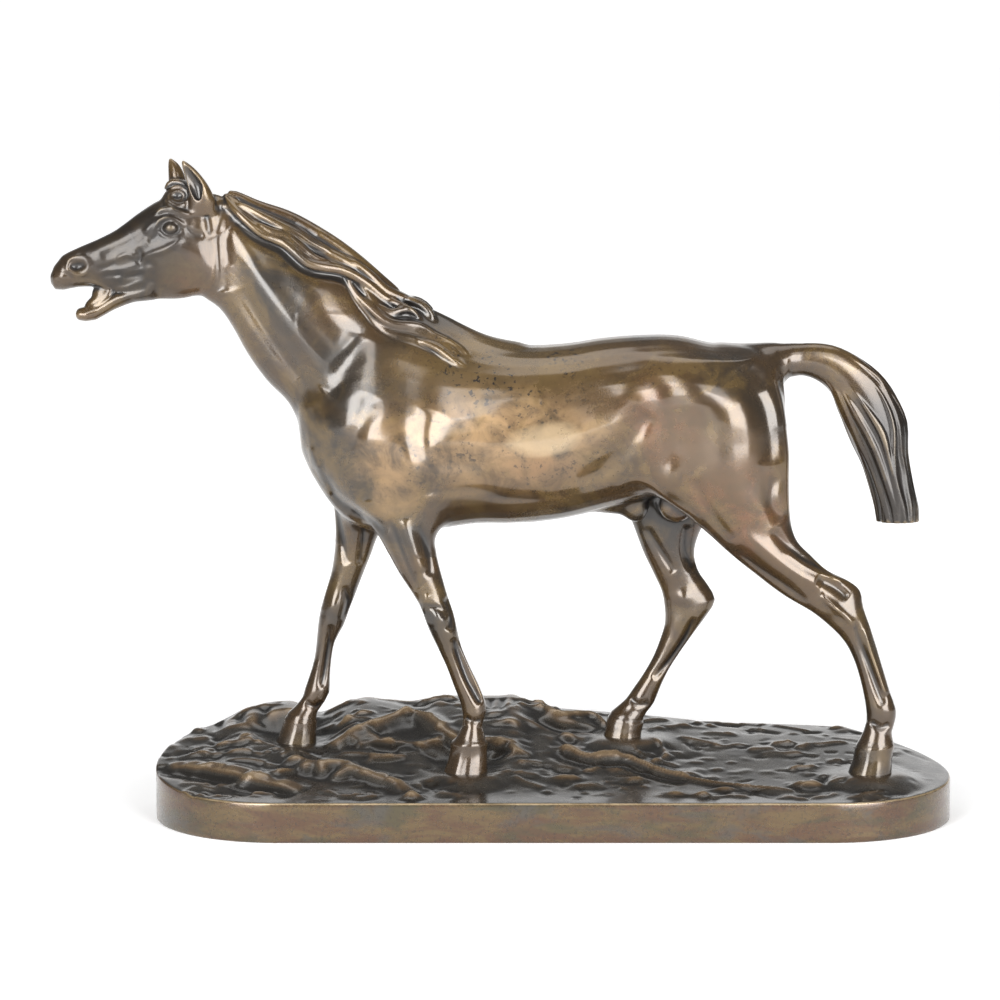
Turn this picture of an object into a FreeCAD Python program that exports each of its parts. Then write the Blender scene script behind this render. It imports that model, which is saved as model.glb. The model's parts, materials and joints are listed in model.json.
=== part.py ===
"""Bronze statuette of a walking, neighing horse on an oval plinth of rough ground.

The horse is cast in seven pieces that meet in pinned sleeve and tenon joints: torso, neck with
head, four legs and tail. It is held to the hollow plinth by a threaded stud in each hoof, with a
washer and a nut under the ground plate.

Frame: +Z up, the horse faces -X, its near (left) side is towards -Y. The origin is at the centre
of the overall box, on the plane that the plinth rests on. Millimetres.
"""

import FreeCAD
import Part
import math
import os
from collections import namedtuple

V = FreeCAD.Vector

# ---------------------------------------------------------------- driving dimensions
PLINTH_LENGTH = 320.2
PLINTH_DEPTH = 104.0
PLINTH_CENTRE_X = 20.3
PLINTH_WALL = 4.0
RIM_HEIGHT = 16.5            # height of the plinth's plain edge along the front
GROUND_PLATE = 4.2           # thickness of the cast ground
AIR_HEIGHT = 70.0            # height of the blanks that trim the ground
GROUND_STEP = 5.0            # spacing of the points that the ground's surface is laid over
GROUND_DROP = 0.4            # how far the bare ground lies below the plain edge's height

BODY_WALL = 3.4              # wall of the hollow neck and its base
TRUNK_WALL = 4.2             # wall of the hollow trunk
SLEEVE_WALL = 2.2            # wall of the neck's joint sleeve
FIT_GAP = 0.08               # radial clearance of tenons, sleeve and pins' bores

STUD_R = 2.5
STUD_IN_HOOF = 8.0
STUD_HOLE_R = 2.8
BOSS_R = 7.0
BOSS_DEPTH = 7.5             # from the hoof's sole down to the washer's seat
BOSS_COVER = 1.5             # ground left between a boss's top and the sole
WASHER_R = 5.5
WASHER_T = 1.0
NUT_FLATS = 8.0
NUT_T = 4.0
STUD_PROUD = 1.2             # stud left showing below its nut
STUD_CHAMFER = 0.4
PIN_R = 1.25
PIN_BLANK = 60.0             # length of a pin before it is cut short
PIN_SUNK = 1.2               # from a casting's surface down to a pin's end
TENON_R = 3.6
TENON_LENGTH = 9.0
TENON_ROOT = 2.0             # how far a tenon starts inside its own casting
TENON_END_GAP = 0.5          # space left past the end of a tenon
PIN_SHARE = 0.55             # place of a cross pin along its tenon
TAIL_TENON_R = 2.8
TAIL_PIN_FOOT = 1.5          # from the tail's tenon down to its pin's foot
CORE_PLUG_R = 3.0
PLUG_BLANK = 25.0            # length of a plug before it is cut to the wall
PLUG_X = (-6.0, 26.0)        # places of the two core plugs along the belly
VENT_FLOOR = 105.0           # a height below the whole belly
NECK_PIN_INSET = 5.0         # from the neck's joint to its pins

RING_POINTS = 16
RING_STEP = 7.0              # spacing of the cross-sections that a skin is laid over
SKIN_DEGREE = 3              # highest degree of a skin along its length
OVERRUN = 1.0                # how far a cutter reaches past the face that it cuts

# A cross-section: its two edge points in the XZ plane, its middle in Y, its half-width, and how
# square it is (2 is an ellipse) on the side of the first and of the second edge point.
Ring = namedtuple("Ring", "a b y w first second")


def ring(a, b, w, y=0.0, first=2.0, second=2.0):
    """A cross-section, with an ellipse as its usual shape."""
    return Ring(a, b, y, w, first, second)


def inset(r, t):
    """The same cross-section with its outline moved in by t."""
    dx, dz = r.b[0] - r.a[0], r.b[1] - r.a[1]
    length = math.hypot(dx, dz)
    ux, uz = dx / length * t, dz / length * t
    a = (r.a[0] + ux, r.a[1] + uz)
    b = (r.b[0] - ux, r.b[1] - uz)
    return r._replace(a=a, b=b, w=r.w - t)


def ring_wire(r):
    """The cross-section as a smooth closed wire."""
    a, b = V(r.a[0], r.y, r.a[1]), V(r.b[0], r.y, r.b[1])
    middle, half = (a + b) * 0.5, (a - b) * 0.5
    points = []
    for i in range(RING_POINTS):
        angle = 2 * math.pi * i / RING_POINTS
        c, s = math.cos(angle), math.sin(angle)
        power = 2.0 / (r.first if c > 0 else r.second)
        along = math.copysign(abs(c) ** power, c)
        across = math.copysign(abs(s) ** power, s)
        points.append(middle + half * along + V(0, r.w * across, 0))
    curve = Part.BSplineCurve()
    curve.interpolate(Points=points, PeriodicFlag=True)
    return Part.Wire(curve.toShape())


def flat(r):
    """The cross-section as a plain list of numbers."""
    return [*r.a, *r.b, r.y, r.w, r.first, r.second]


def curve_through(before, start, end, after, t):
    """A point on the smooth curve from start to end, with slopes from their neighbours."""
    values = []
    for p, a, b, n in zip(before, start, end, after):
        slope_a, slope_b = (b - p) / 2, (n - a) / 2
        h = t * t * (3 - 2 * t)
        values.append(a * (1 - h) + b * h + slope_a * t * (1 - t) ** 2 - slope_b * t * t * (1 - t))
    return values


def refined(rings):
    """The cross-sections with others between them, so that they stand evenly."""
    rows = [flat(r) for r in rings]
    rows = [rows[0]] + rows + [rows[-1]]
    result = []
    for before, start, end, after in zip(rows, rows[1:], rows[2:], rows[3:]):
        gap = math.dist([(start[0] + start[2]) / 2, (start[1] + start[3]) / 2],
                        [(end[0] + end[2]) / 2, (end[1] + end[3]) / 2])
        count = max(1, round(gap / RING_STEP))
        for i in range(count):
            result.append(curve_through(before, start, end, after, i / count))
    result.append(rows[-1])
    return [Ring((v[0], v[1]), (v[2], v[3]), *v[4:]) for v in result]


def loft(rings, ruled=False):
    """A solid through the cross-sections."""
    wires = [ring_wire(r) for r in (rings if ruled else refined(rings))]
    shape = Part.makeLoft(wires, True, ruled, False, SKIN_DEGREE)
    if shape.Volume < 0:
        shape.reverse()
    return shape


def rod(start, direction, radius, length):
    """A round bar."""
    return Part.makeCylinder(radius, length, V(*start), V(*direction))


def ellipsoid(centre, radii, tilt=0.0):
    """A rounded mass, turned by tilt degrees about Y."""
    ball = Part.makeSphere(1.0)
    matrix = FreeCAD.Matrix()
    matrix.scale(*radii)
    ball = ball.transformGeometry(matrix)
    ball.rotate(V(0, 0, 0), V(0, 1, 0), tilt)
    ball.translate(V(*centre))
    return ball


# ---------------------------------------------------------------- the horse's cross-sections
NEAR_Y, FAR_Y = -16.5, 16.5

TORSO = [
    ring((-78.8, 162), (-78.4, 149), 5.0),
    ring((-74.5, 173), (-73.5, 140), 12.5),
    ring((-66, 184), (-65, 127), 20.0),
    ring((-55, 194), (-54, 119), 24.0),
    ring((-40, 201), (-40, 116.5), 26.0, first=1.8),
    ring((-25, 200), (-25, 117.3), 27.5, first=1.7),
    ring((-8, 193), (-8, 119.6), 29.0, first=1.9),
    ring((12, 190.8), (12, 120), 31.0),
    ring((32, 192.8), (32, 123), 31.0),
    ring((50, 194.6), (50, 127), 28.5),
    ring((68, 195), (68, 131), 28.0, first=2.2),
    ring((84, 191.4), (84, 136), 27.0, first=2.2),
    ring((98, 190), (98, 142), 22.0, first=2.1),
    ring((108, 188.8), (109.5, 150), 14.0),
    ring((111.4, 182), (112, 160), 7.0),
]

DOCK_BASE = [
    ring((92, 189.5), (92, 172), 12.0),
    ring((103, 189.5), (103, 176.5), 7.0),
    ring((112, 190.4), (112.2, 178.6), 5.2),
]

NECK_BASE = [
    ring((-14, 196), (-66, 130), 17.0, first=1.8),
    ring((-24, 202.6), (-75.5, 145), 17.0, first=1.7),
    ring((-37, 209.2), (-79.5, 158), 16.0, first=1.6),
    ring((-50, 217), (-85.5, 168), 15.0, first=1.6),
]

NECK = [
    NECK_BASE[-1],
    ring((-64, 228), (-94, 177), 13.5, first=1.6),
    ring((-78, 235.6), (-102, 188), 12.0, first=1.6),
    ring((-92, 242.2), (-108, 199), 10.8, first=1.7),
    ring((-104, 247), (-113, 205.5), 9.8, first=1.8),
    ring((-113, 250.4), (-118, 209), 9.0, first=1.9),
]

HEAD = [
    ring((-112, 249), (-115, 216), 7.5),
    ring((-121, 251.5), (-119, 211), 9.6, first=2.2),
    ring((-131, 251), (-127, 208.9), 10.8, first=2.3),
    ring((-139, 247), (-136, 209), 10.2, first=2.3),
    ring((-146, 242), (-144, 208.4), 8.6, first=2.2),
    ring((-153, 236.6), (-151.5, 212), 7.4, first=2.2),
    ring((-161, 232.6), (-160, 214.5), 6.6, first=2.3),
    ring((-169, 229.2), (-168, 214.4), 6.5, first=2.3),
    ring((-175.5, 226), (-174.5, 213.4), 6.2),
    ring((-179.3, 221.5), (-178.6, 214.6), 4.4),
    ring((-180.4, 219.6), (-180.2, 216.4), 2.2),
]

LOWER_JAW = [
    ring((-141, 217), (-141, 209.3), 6.5),
    ring((-150, 214.5), (-149.5, 207.4), 5.6),
    ring((-157.5, 209.8), (-157.5, 202.6), 4.8),
    ring((-164, 205.4), (-164.5, 200.3), 4.8),
    ring((-170, 205.2), (-170.6, 201.2), 3.8),
]

NEAR_SHOULDER = [
    ring((-62, 148), (-22, 146), 9.0, y=-14.0),
    ring((-54, 127), (-25.5, 123), 9.5, y=-14.5),
    ring((-46.5, 111.5), (-26, 108), 8.0, y=-15.5),
]

NEAR_FORELEG = [
    NEAR_SHOULDER[-1],
    ring((-41, 102), (-23.5, 98.5), 7.2, y=-16.0),
    ring((-35.5, 93), (-21.5, 90.5), 6.3, y=-16.2),
    ring((-31, 84.5), (-19, 83.5), 6.2, y=-16.5),
    ring((-28.5, 77), (-17.6, 76), 6.0, y=-16.5),
    ring((-25, 70), (-15.7, 68.5), 4.6, y=-16.5),
    ring((-21.7, 62), (-12, 61), 4.0, y=-16.5),
    ring((-18.6, 54), (-8.4, 53.5), 4.4, y=-16.5),
    ring((-16.4, 47.5), (-6.4, 47.5), 5.0, y=-16.5),
    ring((-16.0, 41.5), (-8.2, 41.5), 4.5, y=-16.5),
    ring((-19.0, 34.8), (-6.8, 34.8), 6.4, y=-16.5),
    ring((-24.0, 21.0), (-6.2, 21.0), 8.2, y=-16.5, first=2.2),
]

FAR_SHOULDER = [
    ring((-68, 146), (-38, 144), 9.0, y=14.0),
    ring((-67.5, 125), (-45, 122), 9.5, y=15.0),
    ring((-67.6, 110), (-52.5, 106), 8.0, y=16.0),
]

FAR_FORELEG = [
    FAR_SHOULDER[-1],
    ring((-69.3, 98), (-56.8, 95), 7.0, y=16.5),
    ring((-72, 88), (-60.8, 85.5), 6.3, y=16.5),
    ring((-74.5, 79), (-63.5, 77.5), 6.0, y=16.5),
    ring((-75.4, 71.5), (-67.3, 70.5), 4.8, y=16.5),
    ring((-76.6, 61), (-69.8, 61), 4.0, y=16.5),
    ring((-78.6, 54), (-70.2, 54), 4.4, y=16.5),
    ring((-80.4, 49), (-70.4, 47.5), 4.9, y=16.5),
    ring((-82.2, 44), (-73.2, 41.5), 4.4, y=16.5),
    ring((-87.6, 38.4), (-76.2, 36.6), 6.2, y=16.5),
    ring((-93.2, 26.5), (-76.0, 26.5), 8.0, y=16.5, first=2.2),
]

NEAR_THIGH = [
    ring((54, 182), (98, 184), 9.0, y=-13.0),
    ring((47, 163), (110, 166), 12.5, y=-15.5),
    ring((49, 146), (113.2, 148), 13.0, y=-15.8),
    ring((57, 137), (113.5, 131), 11.5, y=-16.0),
    ring((71, 127), (115.0, 118), 9.8, y=-16.2),
    ring((90, 109.5), (121.0, 109.3), 7.8, y=-16.5),
]

NEAR_HINDLEG = [
    NEAR_THIGH[-1],
    ring((101, 100.3), (129, 102.6), 6.6, y=-16.5),
    ring((112, 92.4), (137, 98.6), 5.7, y=-16.5),
    ring((122.5, 86.3), (142, 94.5), 5.9, y=-16.5),
    ring((131, 79.3), (144, 86), 6.0, y=-16.5),
    ring((136.6, 73), (147.2, 76.5), 5.0, y=-16.5),
    ring((140.3, 65), (150.4, 66.5), 4.2, y=-16.5),
    ring((143, 56.5), (153.2, 57), 4.0, y=-16.5),
    ring((144.8, 49), (156.2, 48.5), 4.7, y=-16.5),
    ring((145, 42.5), (156.6, 42.5), 4.8, y=-16.5),
    ring((144, 37), (153.8, 37), 4.4, y=-16.5),
    ring((142.3, 32.4), (154.6, 32.4), 6.2, y=-16.5),
    ring((138.2, 20.5), (155.0, 20.5), 8.0, y=-16.5, first=2.2),
]

FAR_THIGH = [
    ring((48, 180), (96, 182), 9.0, y=13.0),
    ring((43, 160), (108, 164), 12.5, y=15.5),
    ring((44, 142), (108, 144), 12.5, y=15.8),
    ring((48, 128), (96, 130), 11.0, y=16.0),
    ring((52, 118), (82.5, 118.5), 9.2, y=16.2),
    ring((56.3, 106.5), (77.8, 106.8), 7.6, y=16.5),
]

FAR_HINDLEG = [
    FAR_THIGH[-1],
    ring((60.8, 96.8), (79.2, 98), 6.4, y=16.5),
    ring((64.2, 89.5), (83.0, 91.5), 5.7, y=16.5),
    ring((65.4, 82.8), (86.0, 85.5), 5.8, y=16.5),
    ring((65.8, 76.6), (82.5, 79), 5.8, y=16.5),
    ring((64.2, 69.6), (77.0, 71), 4.8, y=16.5),
    ring((61, 61.5), (71.0, 62.5), 4.2, y=16.5),
    ring((56.4, 53.5), (66.2, 54.3), 4.1, y=16.5),
    ring((51.6, 46.8), (63.0, 46.6), 4.7, y=16.5),
    ring((47.8, 43), (60.6, 40.8), 4.7, y=16.5),
    ring((45.2, 40), (57.6, 37), 5.2, y=16.5),
    ring((41.4, 29.0), (56.4, 29.0), 7.6, y=16.5, first=2.2),
]

TAIL = [
    DOCK_BASE[-1],
    ring((121, 191.8), (119.8, 178.2), 5.2),
    ring((131.5, 191.2), (126, 175.2), 5.6),
    ring((141, 187.2), (130.5, 170.8), 6.2),
    ring((150, 180), (133.6, 164.4), 6.9),
    ring((156.8, 170.6), (136.4, 158), 7.4),
    ring((160.4, 160), (139.4, 151), 7.6),
    ring((162, 147.5), (143.2, 143.4), 7.3),
    ring((164, 136), (146.2, 135), 7.0),
    ring((166.5, 121), (149.8, 121), 6.6),
]

# A hoof's middle, the height of its sole, and the leg that it ends.
Hoof = namedtuple("Hoof", "name x y sole")
HOOVES = [
    Hoof("near_fore", -14.5, NEAR_Y, 21.0),
    Hoof("far_fore", -84.2, FAR_Y, 26.5),
    Hoof("near_hind", 147.0, NEAR_Y, 20.5),
    Hoof("far_hind", 49.2, FAR_Y, 29.0),
]


# ---------------------------------------------------------------- the plinth
# How much higher the ground stands along the back rim than along the front, by place in X.
BACK_RISE = [
    (-142, 1), (-130, 7), (-118, 13), (-104, 19), (-90, 20), (-76, 15), (-60, 21), (-30, 20.5),
    (4, 22.5), (16, 18), (40, 16), (70, 13), (100, 11.5), (140, 10.5), (160, 6), (182, 1),
]
# Mounds and hollows of the ground: x, y, radius, height.
MOUNDS = [
    (-104, -30, 13, 4.5), (-86, -34, 10, 3.0), (-66, -30, 10, 3.5), (-46, -33, 8, 2.5),
    (-116, 22, 14, 3.0), (-34, 20, 14, 3.5), (2, 26, 12, 3.0), (24, 4, 12, 2.0),
    (62, -4, 11, 1.8), (92, 14, 13, 1.6), (112, -22, 9, 1.5), (-52, 6, 14, -1.5),
    (70, -28, 12, -1.0), (-8, 4, 10, -1.2),
]
PAD_R, PAD_BLEND = 10.5, 9.0         # flat ground round a hoof, and the width of its edge
HOOF_SUNK = 0.6                      # how far a hoof is let into its pad
SEAT_R, SEAT_CUT = 10.0, 4.0         # the flat seat that is cut for a hoof, and the cutter's height


def smooth(t):
    """0 to 1 as t goes from 0 to 1, with level ends."""
    t = min(1.0, max(0.0, t))
    return t * t * (3 - 2 * t)


def back_rise(x):
    """The rise of the back rim above the front rim at x."""
    if x <= BACK_RISE[0][0]:
        return BACK_RISE[0][1]
    for (x0, r0), (x1, r1) in zip(BACK_RISE, BACK_RISE[1:]):
        if x <= x1:
            return r0 + (r1 - r0) * smooth((x - x0) / (x1 - x0))
    return BACK_RISE[-1][1]


def ground(x, y):
    """The height of the ground's top."""
    across = (y + PLINTH_DEPTH / 2) / PLINTH_DEPTH
    z = RIM_HEIGHT + back_rise(x) * smooth(0.12 + 0.88 * across) - GROUND_DROP
    for mx, my, radius, height in MOUNDS:
        z += height * math.exp(-((x - mx) ** 2 + (y - my) ** 2) / radius ** 2)
    for hoof in HOOVES:
        gap = math.hypot(x - hoof.x, y - hoof.y) - PAD_R
        share = 1 - smooth(gap / PAD_BLEND)
        z = z * (1 - share) + (hoof.sole + HOOF_SUNK) * share
    return z


def above_ground(lowered):
    """The block of air above the ground, moved down by lowered."""
    step = GROUND_STEP
    x0, y0 = PLINTH_CENTRE_X - PLINTH_LENGTH / 2 - 2 * step, -PLINTH_DEPTH / 2 - 2 * step
    nx, ny = int(PLINTH_LENGTH / step) + 5, int(PLINTH_DEPTH / step) + 5
    grid = [[V(x0 + i * step, y0 + j * step, ground(x0 + i * step, y0 + j * step) - lowered)
             for j in range(ny)] for i in range(nx)]
    surface = Part.BSplineSurface()
    surface.approximate(Points=grid, DegMin=3, DegMax=5, Continuity=2, Tolerance=0.05)
    return surface.toShape().extrude(V(0, 0, AIR_HEIGHT))


def stadium(margin, z0, z1):
    """A prism with the plinth's outline, moved in by margin."""
    r = PLINTH_DEPTH / 2 - margin
    run = PLINTH_LENGTH / 2 - PLINTH_DEPTH / 2
    left, right = PLINTH_CENTRE_X - run, PLINTH_CENTRE_X + run
    edges = [
        Part.LineSegment(V(left, -r, z0), V(right, -r, z0)),
        Part.Arc(V(right, -r, z0), V(right + r, 0, z0), V(right, r, z0)),
        Part.LineSegment(V(right, r, z0), V(left, r, z0)),
        Part.Arc(V(left, r, z0), V(left - r, 0, z0), V(left, -r, z0)),
    ]
    outline = Part.Wire([e.toShape() for e in edges])
    return Part.Face(outline).extrude(V(0, 0, z1 - z0))


def make_plinth():
    """The hollow ground casting, open underneath, with a bored boss under each hoof."""
    block = stadium(0.0, 0.0, AIR_HEIGHT).cut(above_ground(0.0))
    cavity = stadium(PLINTH_WALL, -OVERRUN, AIR_HEIGHT).cut(above_ground(GROUND_PLATE))
    plinth = block.cut(cavity)
    for hoof in HOOVES:
        boss = rod((hoof.x, hoof.y, hoof.sole - BOSS_DEPTH), (0, 0, 1), BOSS_R, BOSS_DEPTH - BOSS_COVER)
        hole = rod((hoof.x, hoof.y, 0), (0, 0, 1), STUD_HOLE_R, AIR_HEIGHT)
        plinth = plinth.fuse(boss).cut(hole)
    for hoof in HOOVES:
        plinth = plinth.cut(rod((hoof.x, hoof.y, hoof.sole), (0, 0, 1), SEAT_R, SEAT_CUT))
    return plinth


# ---------------------------------------------------------------- fasteners
def make_stud(hoof):
    """A threaded stud from inside the hoof to just below its nut."""
    bottom = hoof.sole - BOSS_DEPTH - WASHER_T - NUT_T - STUD_PROUD
    length = hoof.sole + STUD_IN_HOOF - bottom
    stud = rod((hoof.x, hoof.y, bottom), (0, 0, 1), STUD_R, length)
    ends = [e for e in stud.Edges if isinstance(e.Curve, Part.Circle)]
    return stud.makeChamfer(STUD_CHAMFER, ends)


def make_washer(hoof):
    """A flat washer against the boss."""
    start = (hoof.x, hoof.y, hoof.sole - BOSS_DEPTH - WASHER_T)
    disc = rod(start, (0, 0, 1), WASHER_R, WASHER_T)
    return disc.cut(rod(start, (0, 0, 1), STUD_HOLE_R, WASHER_T))


def make_nut(hoof):
    """A hexagon nut under the washer, with its corners turned down."""
    z = hoof.sole - BOSS_DEPTH - WASHER_T - NUT_T
    corner = NUT_FLATS / math.sqrt(3)
    points = [V(hoof.x + corner * math.cos(math.radians(60 * i)),
                hoof.y + corner * math.sin(math.radians(60 * i)), z) for i in range(7)]
    nut = Part.Face(Part.makePolygon(points)).extrude(V(0, 0, NUT_T))
    cone = Part.makeCone(NUT_FLATS / 2, NUT_FLATS / 2 + NUT_T, NUT_T, V(hoof.x, hoof.y, z))
    bore = rod((hoof.x, hoof.y, z), (0, 0, 1), STUD_R, NUT_T)
    return nut.common(cone).cut(bore)


# ---------------------------------------------------------------- the horse's castings
def ring_centre(r):
    """The middle of a cross-section."""
    return V((r.a[0] + r.b[0]) / 2, r.y, (r.a[1] + r.b[1]) / 2)


def axis_into(joint, beyond):
    """The unit direction from a joint's cross-section towards the next one in the torso."""
    direction = ring_centre(beyond) - ring_centre(joint)
    return direction.normalize()


def tenon(joint, beyond, radius, length):
    """A round tenon that stands on a joint's cross-section and points into the torso."""
    centre, direction = ring_centre(joint), axis_into(joint, beyond)
    start = centre - direction * TENON_ROOT
    return rod(tuple(start), tuple(direction), radius, length + TENON_ROOT)


def make_neck_and_head():
    """The hollow neck with the head, lower jaw, ears and forelock, and the sleeve at its root."""
    outer = loft(NECK)
    cavity = loft([inset(r, BODY_WALL) for r in NECK[:-1]])
    root = [NECK_BASE[-1], NECK_BASE[-2]]
    sleeve = loft([inset(r, BODY_WALL + FIT_GAP) for r in root], ruled=True)
    shape = outer.fuse(sleeve).cut(cavity).cut(sleeve_bore())
    for piece in (loft(HEAD), loft(LOWER_JAW), make_tongue(), make_forelock(), *make_ears()):
        shape = shape.fuse(piece)
    return shape


def sleeve_bore():
    """The hollow through the neck's sleeve, run on a little past both of its ends."""
    along = (NECK[1], *NECK_BASE[:0:-1])
    return loft([inset(r, BODY_WALL + SLEEVE_WALL) for r in along], ruled=True)


def make_tongue():
    """The tongue between the parted jaws."""
    return ellipsoid((-161.5, 0, 209.3), (9.0, 3.6, 3.0), tilt=-28)


def make_forelock():
    """The tuft of hair between the ears."""
    return ellipsoid((-129.5, 0, 249.5), (5.5, 5.0, 4.0), tilt=15)


def make_ears():
    """Two upright ears, hollowed towards the front."""
    ears = []
    for side, tip, foot in ((-1, (-128.2, 263.8), (-120.5, 246)), (1, (-133.4, 264), (-128.5, 246))):
        base_y, tip_y = side * 5.5, side * 7.5
        rings = []
        for share, half, width in ((0, 4.2, 3.4), (0.35, 4.2, 3.4), (0.7, 2.9, 2.5), (1, 0.7, 0.7)):
            x = foot[0] + (tip[0] - foot[0]) * share
            z = foot[1] + (tip[1] - foot[1]) * share
            y = base_y + (tip_y - base_y) * share
            rings.append(ring((x - half, z - half * 0.4), (x + half, z + half * 0.4), width, y=y))
        ears.append(loft(rings))
    return ears


def make_torso():
    """The hollow trunk with the neck's base, shoulders, thighs and sheath."""
    sheath = ellipsoid((50, 0, 127), (13, 6, 6), tilt=-8)
    purse = ellipsoid((70, 0, 126), (9, 8, 9), tilt=10)
    masses = [loft(NECK_BASE), loft(NEAR_SHOULDER), loft(FAR_SHOULDER), loft(NEAR_THIGH),
              loft(FAR_THIGH), loft(DOCK_BASE), sheath, purse]
    shape = loft(TORSO)
    for mass in masses:
        shape = shape.fuse(mass)
    core = [inset(r, TRUNK_WALL) for r in TORSO[2:-2]]
    shape = shape.cut(loft(core))
    passage = loft([inset(r, BODY_WALL) for r in NECK_BASE[2:]], ruled=True)
    inner = loft([inset(r, BODY_WALL) for r in NECK_BASE[1:3]], ruled=True)
    return shape.cut(passage).cut(inner)


def make_leg(rings, hoof, beyond):
    """A solid leg on its hoof, with a tenon above and a tapped bore below."""
    leg = loft(rings[:-1]).fuse(loft(rings[-2:], ruled=True))
    leg = leg.fuse(tenon(rings[0], beyond, TENON_R, TENON_LENGTH))
    start = (hoof.x, hoof.y, hoof.sole - OVERRUN)
    return leg.cut(rod(start, (0, 0, 1), STUD_R, STUD_IN_HOOF + OVERRUN))


def cross_pin(joint, beyond, envelope):
    """A round pin across a tenon, with both ends just below the limb's surface."""
    middle = ring_centre(joint) + axis_into(joint, beyond) * (TENON_LENGTH * PIN_SHARE)
    start = middle - V(0, PIN_BLANK / 2, 0)
    return rod(tuple(start), (0, 1, 0), PIN_R, PIN_BLANK).common(envelope)


def make_tail_pin():
    """An upright pin through the dock and the tail's tenon."""
    envelope = loft([inset(r, PIN_SUNK) for r in DOCK_BASE])
    middle = ring_centre(DOCK_BASE[-1]) + axis_into(*DOCK_BASE[:-3:-1]) * (TENON_LENGTH * PIN_SHARE)
    start = (middle.x, 0, middle.z - TAIL_TENON_R - TAIL_PIN_FOOT)
    return rod(start, (0, 0, 1), PIN_R, PIN_BLANK).common(envelope)


def make_neck_pins():
    """The near and far pins through the torso's collar and the neck's sleeve."""
    middle = ring_centre(NECK_BASE[-1]) + axis_into(*NECK_BASE[:-3:-1]) * NECK_PIN_INSET
    blank = rod((middle.x, -PIN_BLANK / 2, middle.z), (0, 1, 0), PIN_R, PIN_BLANK)
    envelope = loft([inset(r, PIN_SUNK) for r in NECK_BASE])
    ends = blank.common(envelope).cut(sleeve_bore()).Solids
    return sorted(ends, key=lambda s: s.CenterOfMass.y)


def make_core_plug(x, torso):
    """A round plug that closes a core's vent in the belly."""
    blank = rod((x, 0, VENT_FLOOR), (0, 0, 1), CORE_PLUG_R, PLUG_BLANK)
    return blank.common(torso).Solids[0]


def biggest(shape):
    """The largest solid of a shape, so that no sliver of a cut stays with it."""
    return max(shape.Solids, key=lambda s: s.Volume)


# The limbs: node name, cross-sections, hoof, and the torso's own mass above the joint.
LIMBS = [
    ("near_foreleg", NEAR_FORELEG, HOOVES[0], NEAR_SHOULDER),
    ("far_foreleg", FAR_FORELEG, HOOVES[1], FAR_SHOULDER),
    ("near_hindleg", NEAR_HINDLEG, HOOVES[2], NEAR_THIGH),
    ("far_hindleg", FAR_HINDLEG, HOOVES[3], FAR_THIGH),
]


def build():
    """Every node's shape, by name."""
    nodes = {"plinth": make_plinth()}
    torso = make_torso()
    neck = make_neck_and_head().cut(torso)

    for name, rings, hoof, mass in LIMBS:
        joint, beyond = mass[-1], mass[-2]
        torso = torso.cut(tenon(joint, beyond, TENON_R + FIT_GAP, TENON_LENGTH + TENON_END_GAP))
        pin = cross_pin(joint, beyond, loft([inset(r, PIN_SUNK) for r in mass]))
        nodes[name + "_pin"] = pin
        nodes[name] = biggest(make_leg(rings, hoof, beyond).cut(torso).cut(pin))
        torso = torso.cut(pin)

    joint, beyond = DOCK_BASE[-1], DOCK_BASE[-2]
    torso = torso.cut(tenon(joint, beyond, TAIL_TENON_R + FIT_GAP, TENON_LENGTH + TENON_END_GAP))
    nodes["tail_pin"] = make_tail_pin()
    tail = loft(TAIL).fuse(tenon(joint, beyond, TAIL_TENON_R, TENON_LENGTH))
    nodes["tail"] = biggest(tail.cut(torso).cut(nodes["tail_pin"]))
    torso = torso.cut(nodes["tail_pin"])

    for name, pin in zip(("neck_pin_near", "neck_pin_far"), make_neck_pins()):
        nodes[name] = pin
        neck, torso = neck.cut(pin), torso.cut(pin)
    nodes["neck_and_head"] = biggest(neck)

    for name, x in zip(("core_plug_front", "core_plug_rear"), PLUG_X):
        nodes[name] = make_core_plug(x, torso)
        torso = torso.cut(nodes[name])
    nodes["torso"] = biggest(torso)

    for hoof in HOOVES:
        nodes[hoof.name + "_stud"] = make_stud(hoof)
        nodes[hoof.name + "_washer"] = make_washer(hoof)
        nodes[hoof.name + "_nut"] = make_nut(hoof)
    return nodes


os.makedirs("parts", exist_ok=True)
for node_name, node_shape in build().items():
    print(f"{node_name:20s} solids {len(node_shape.Solids)} valid {node_shape.isValid()} "
          f"volume {node_shape.Volume:9.1f}")
    node_shape.exportStep(f"parts/{node_name}.step")
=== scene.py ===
"""Bronze statuette of a walking, neighing horse on a long plinth of rough ground.

The horse is modelled in digital clay: masses through cross-sections, then muscles, veins
and hair worked over them. The clay is cut at the joints of the castings, and each piece stands for
its own CAD node. The plinth is laid in rings and its ground is worked by formula. Lengths are in
millimetres until a mesh is made.
"""

from __future__ import annotations

import json
import logging
import math
from dataclasses import dataclass, replace
from enum import Enum

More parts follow.
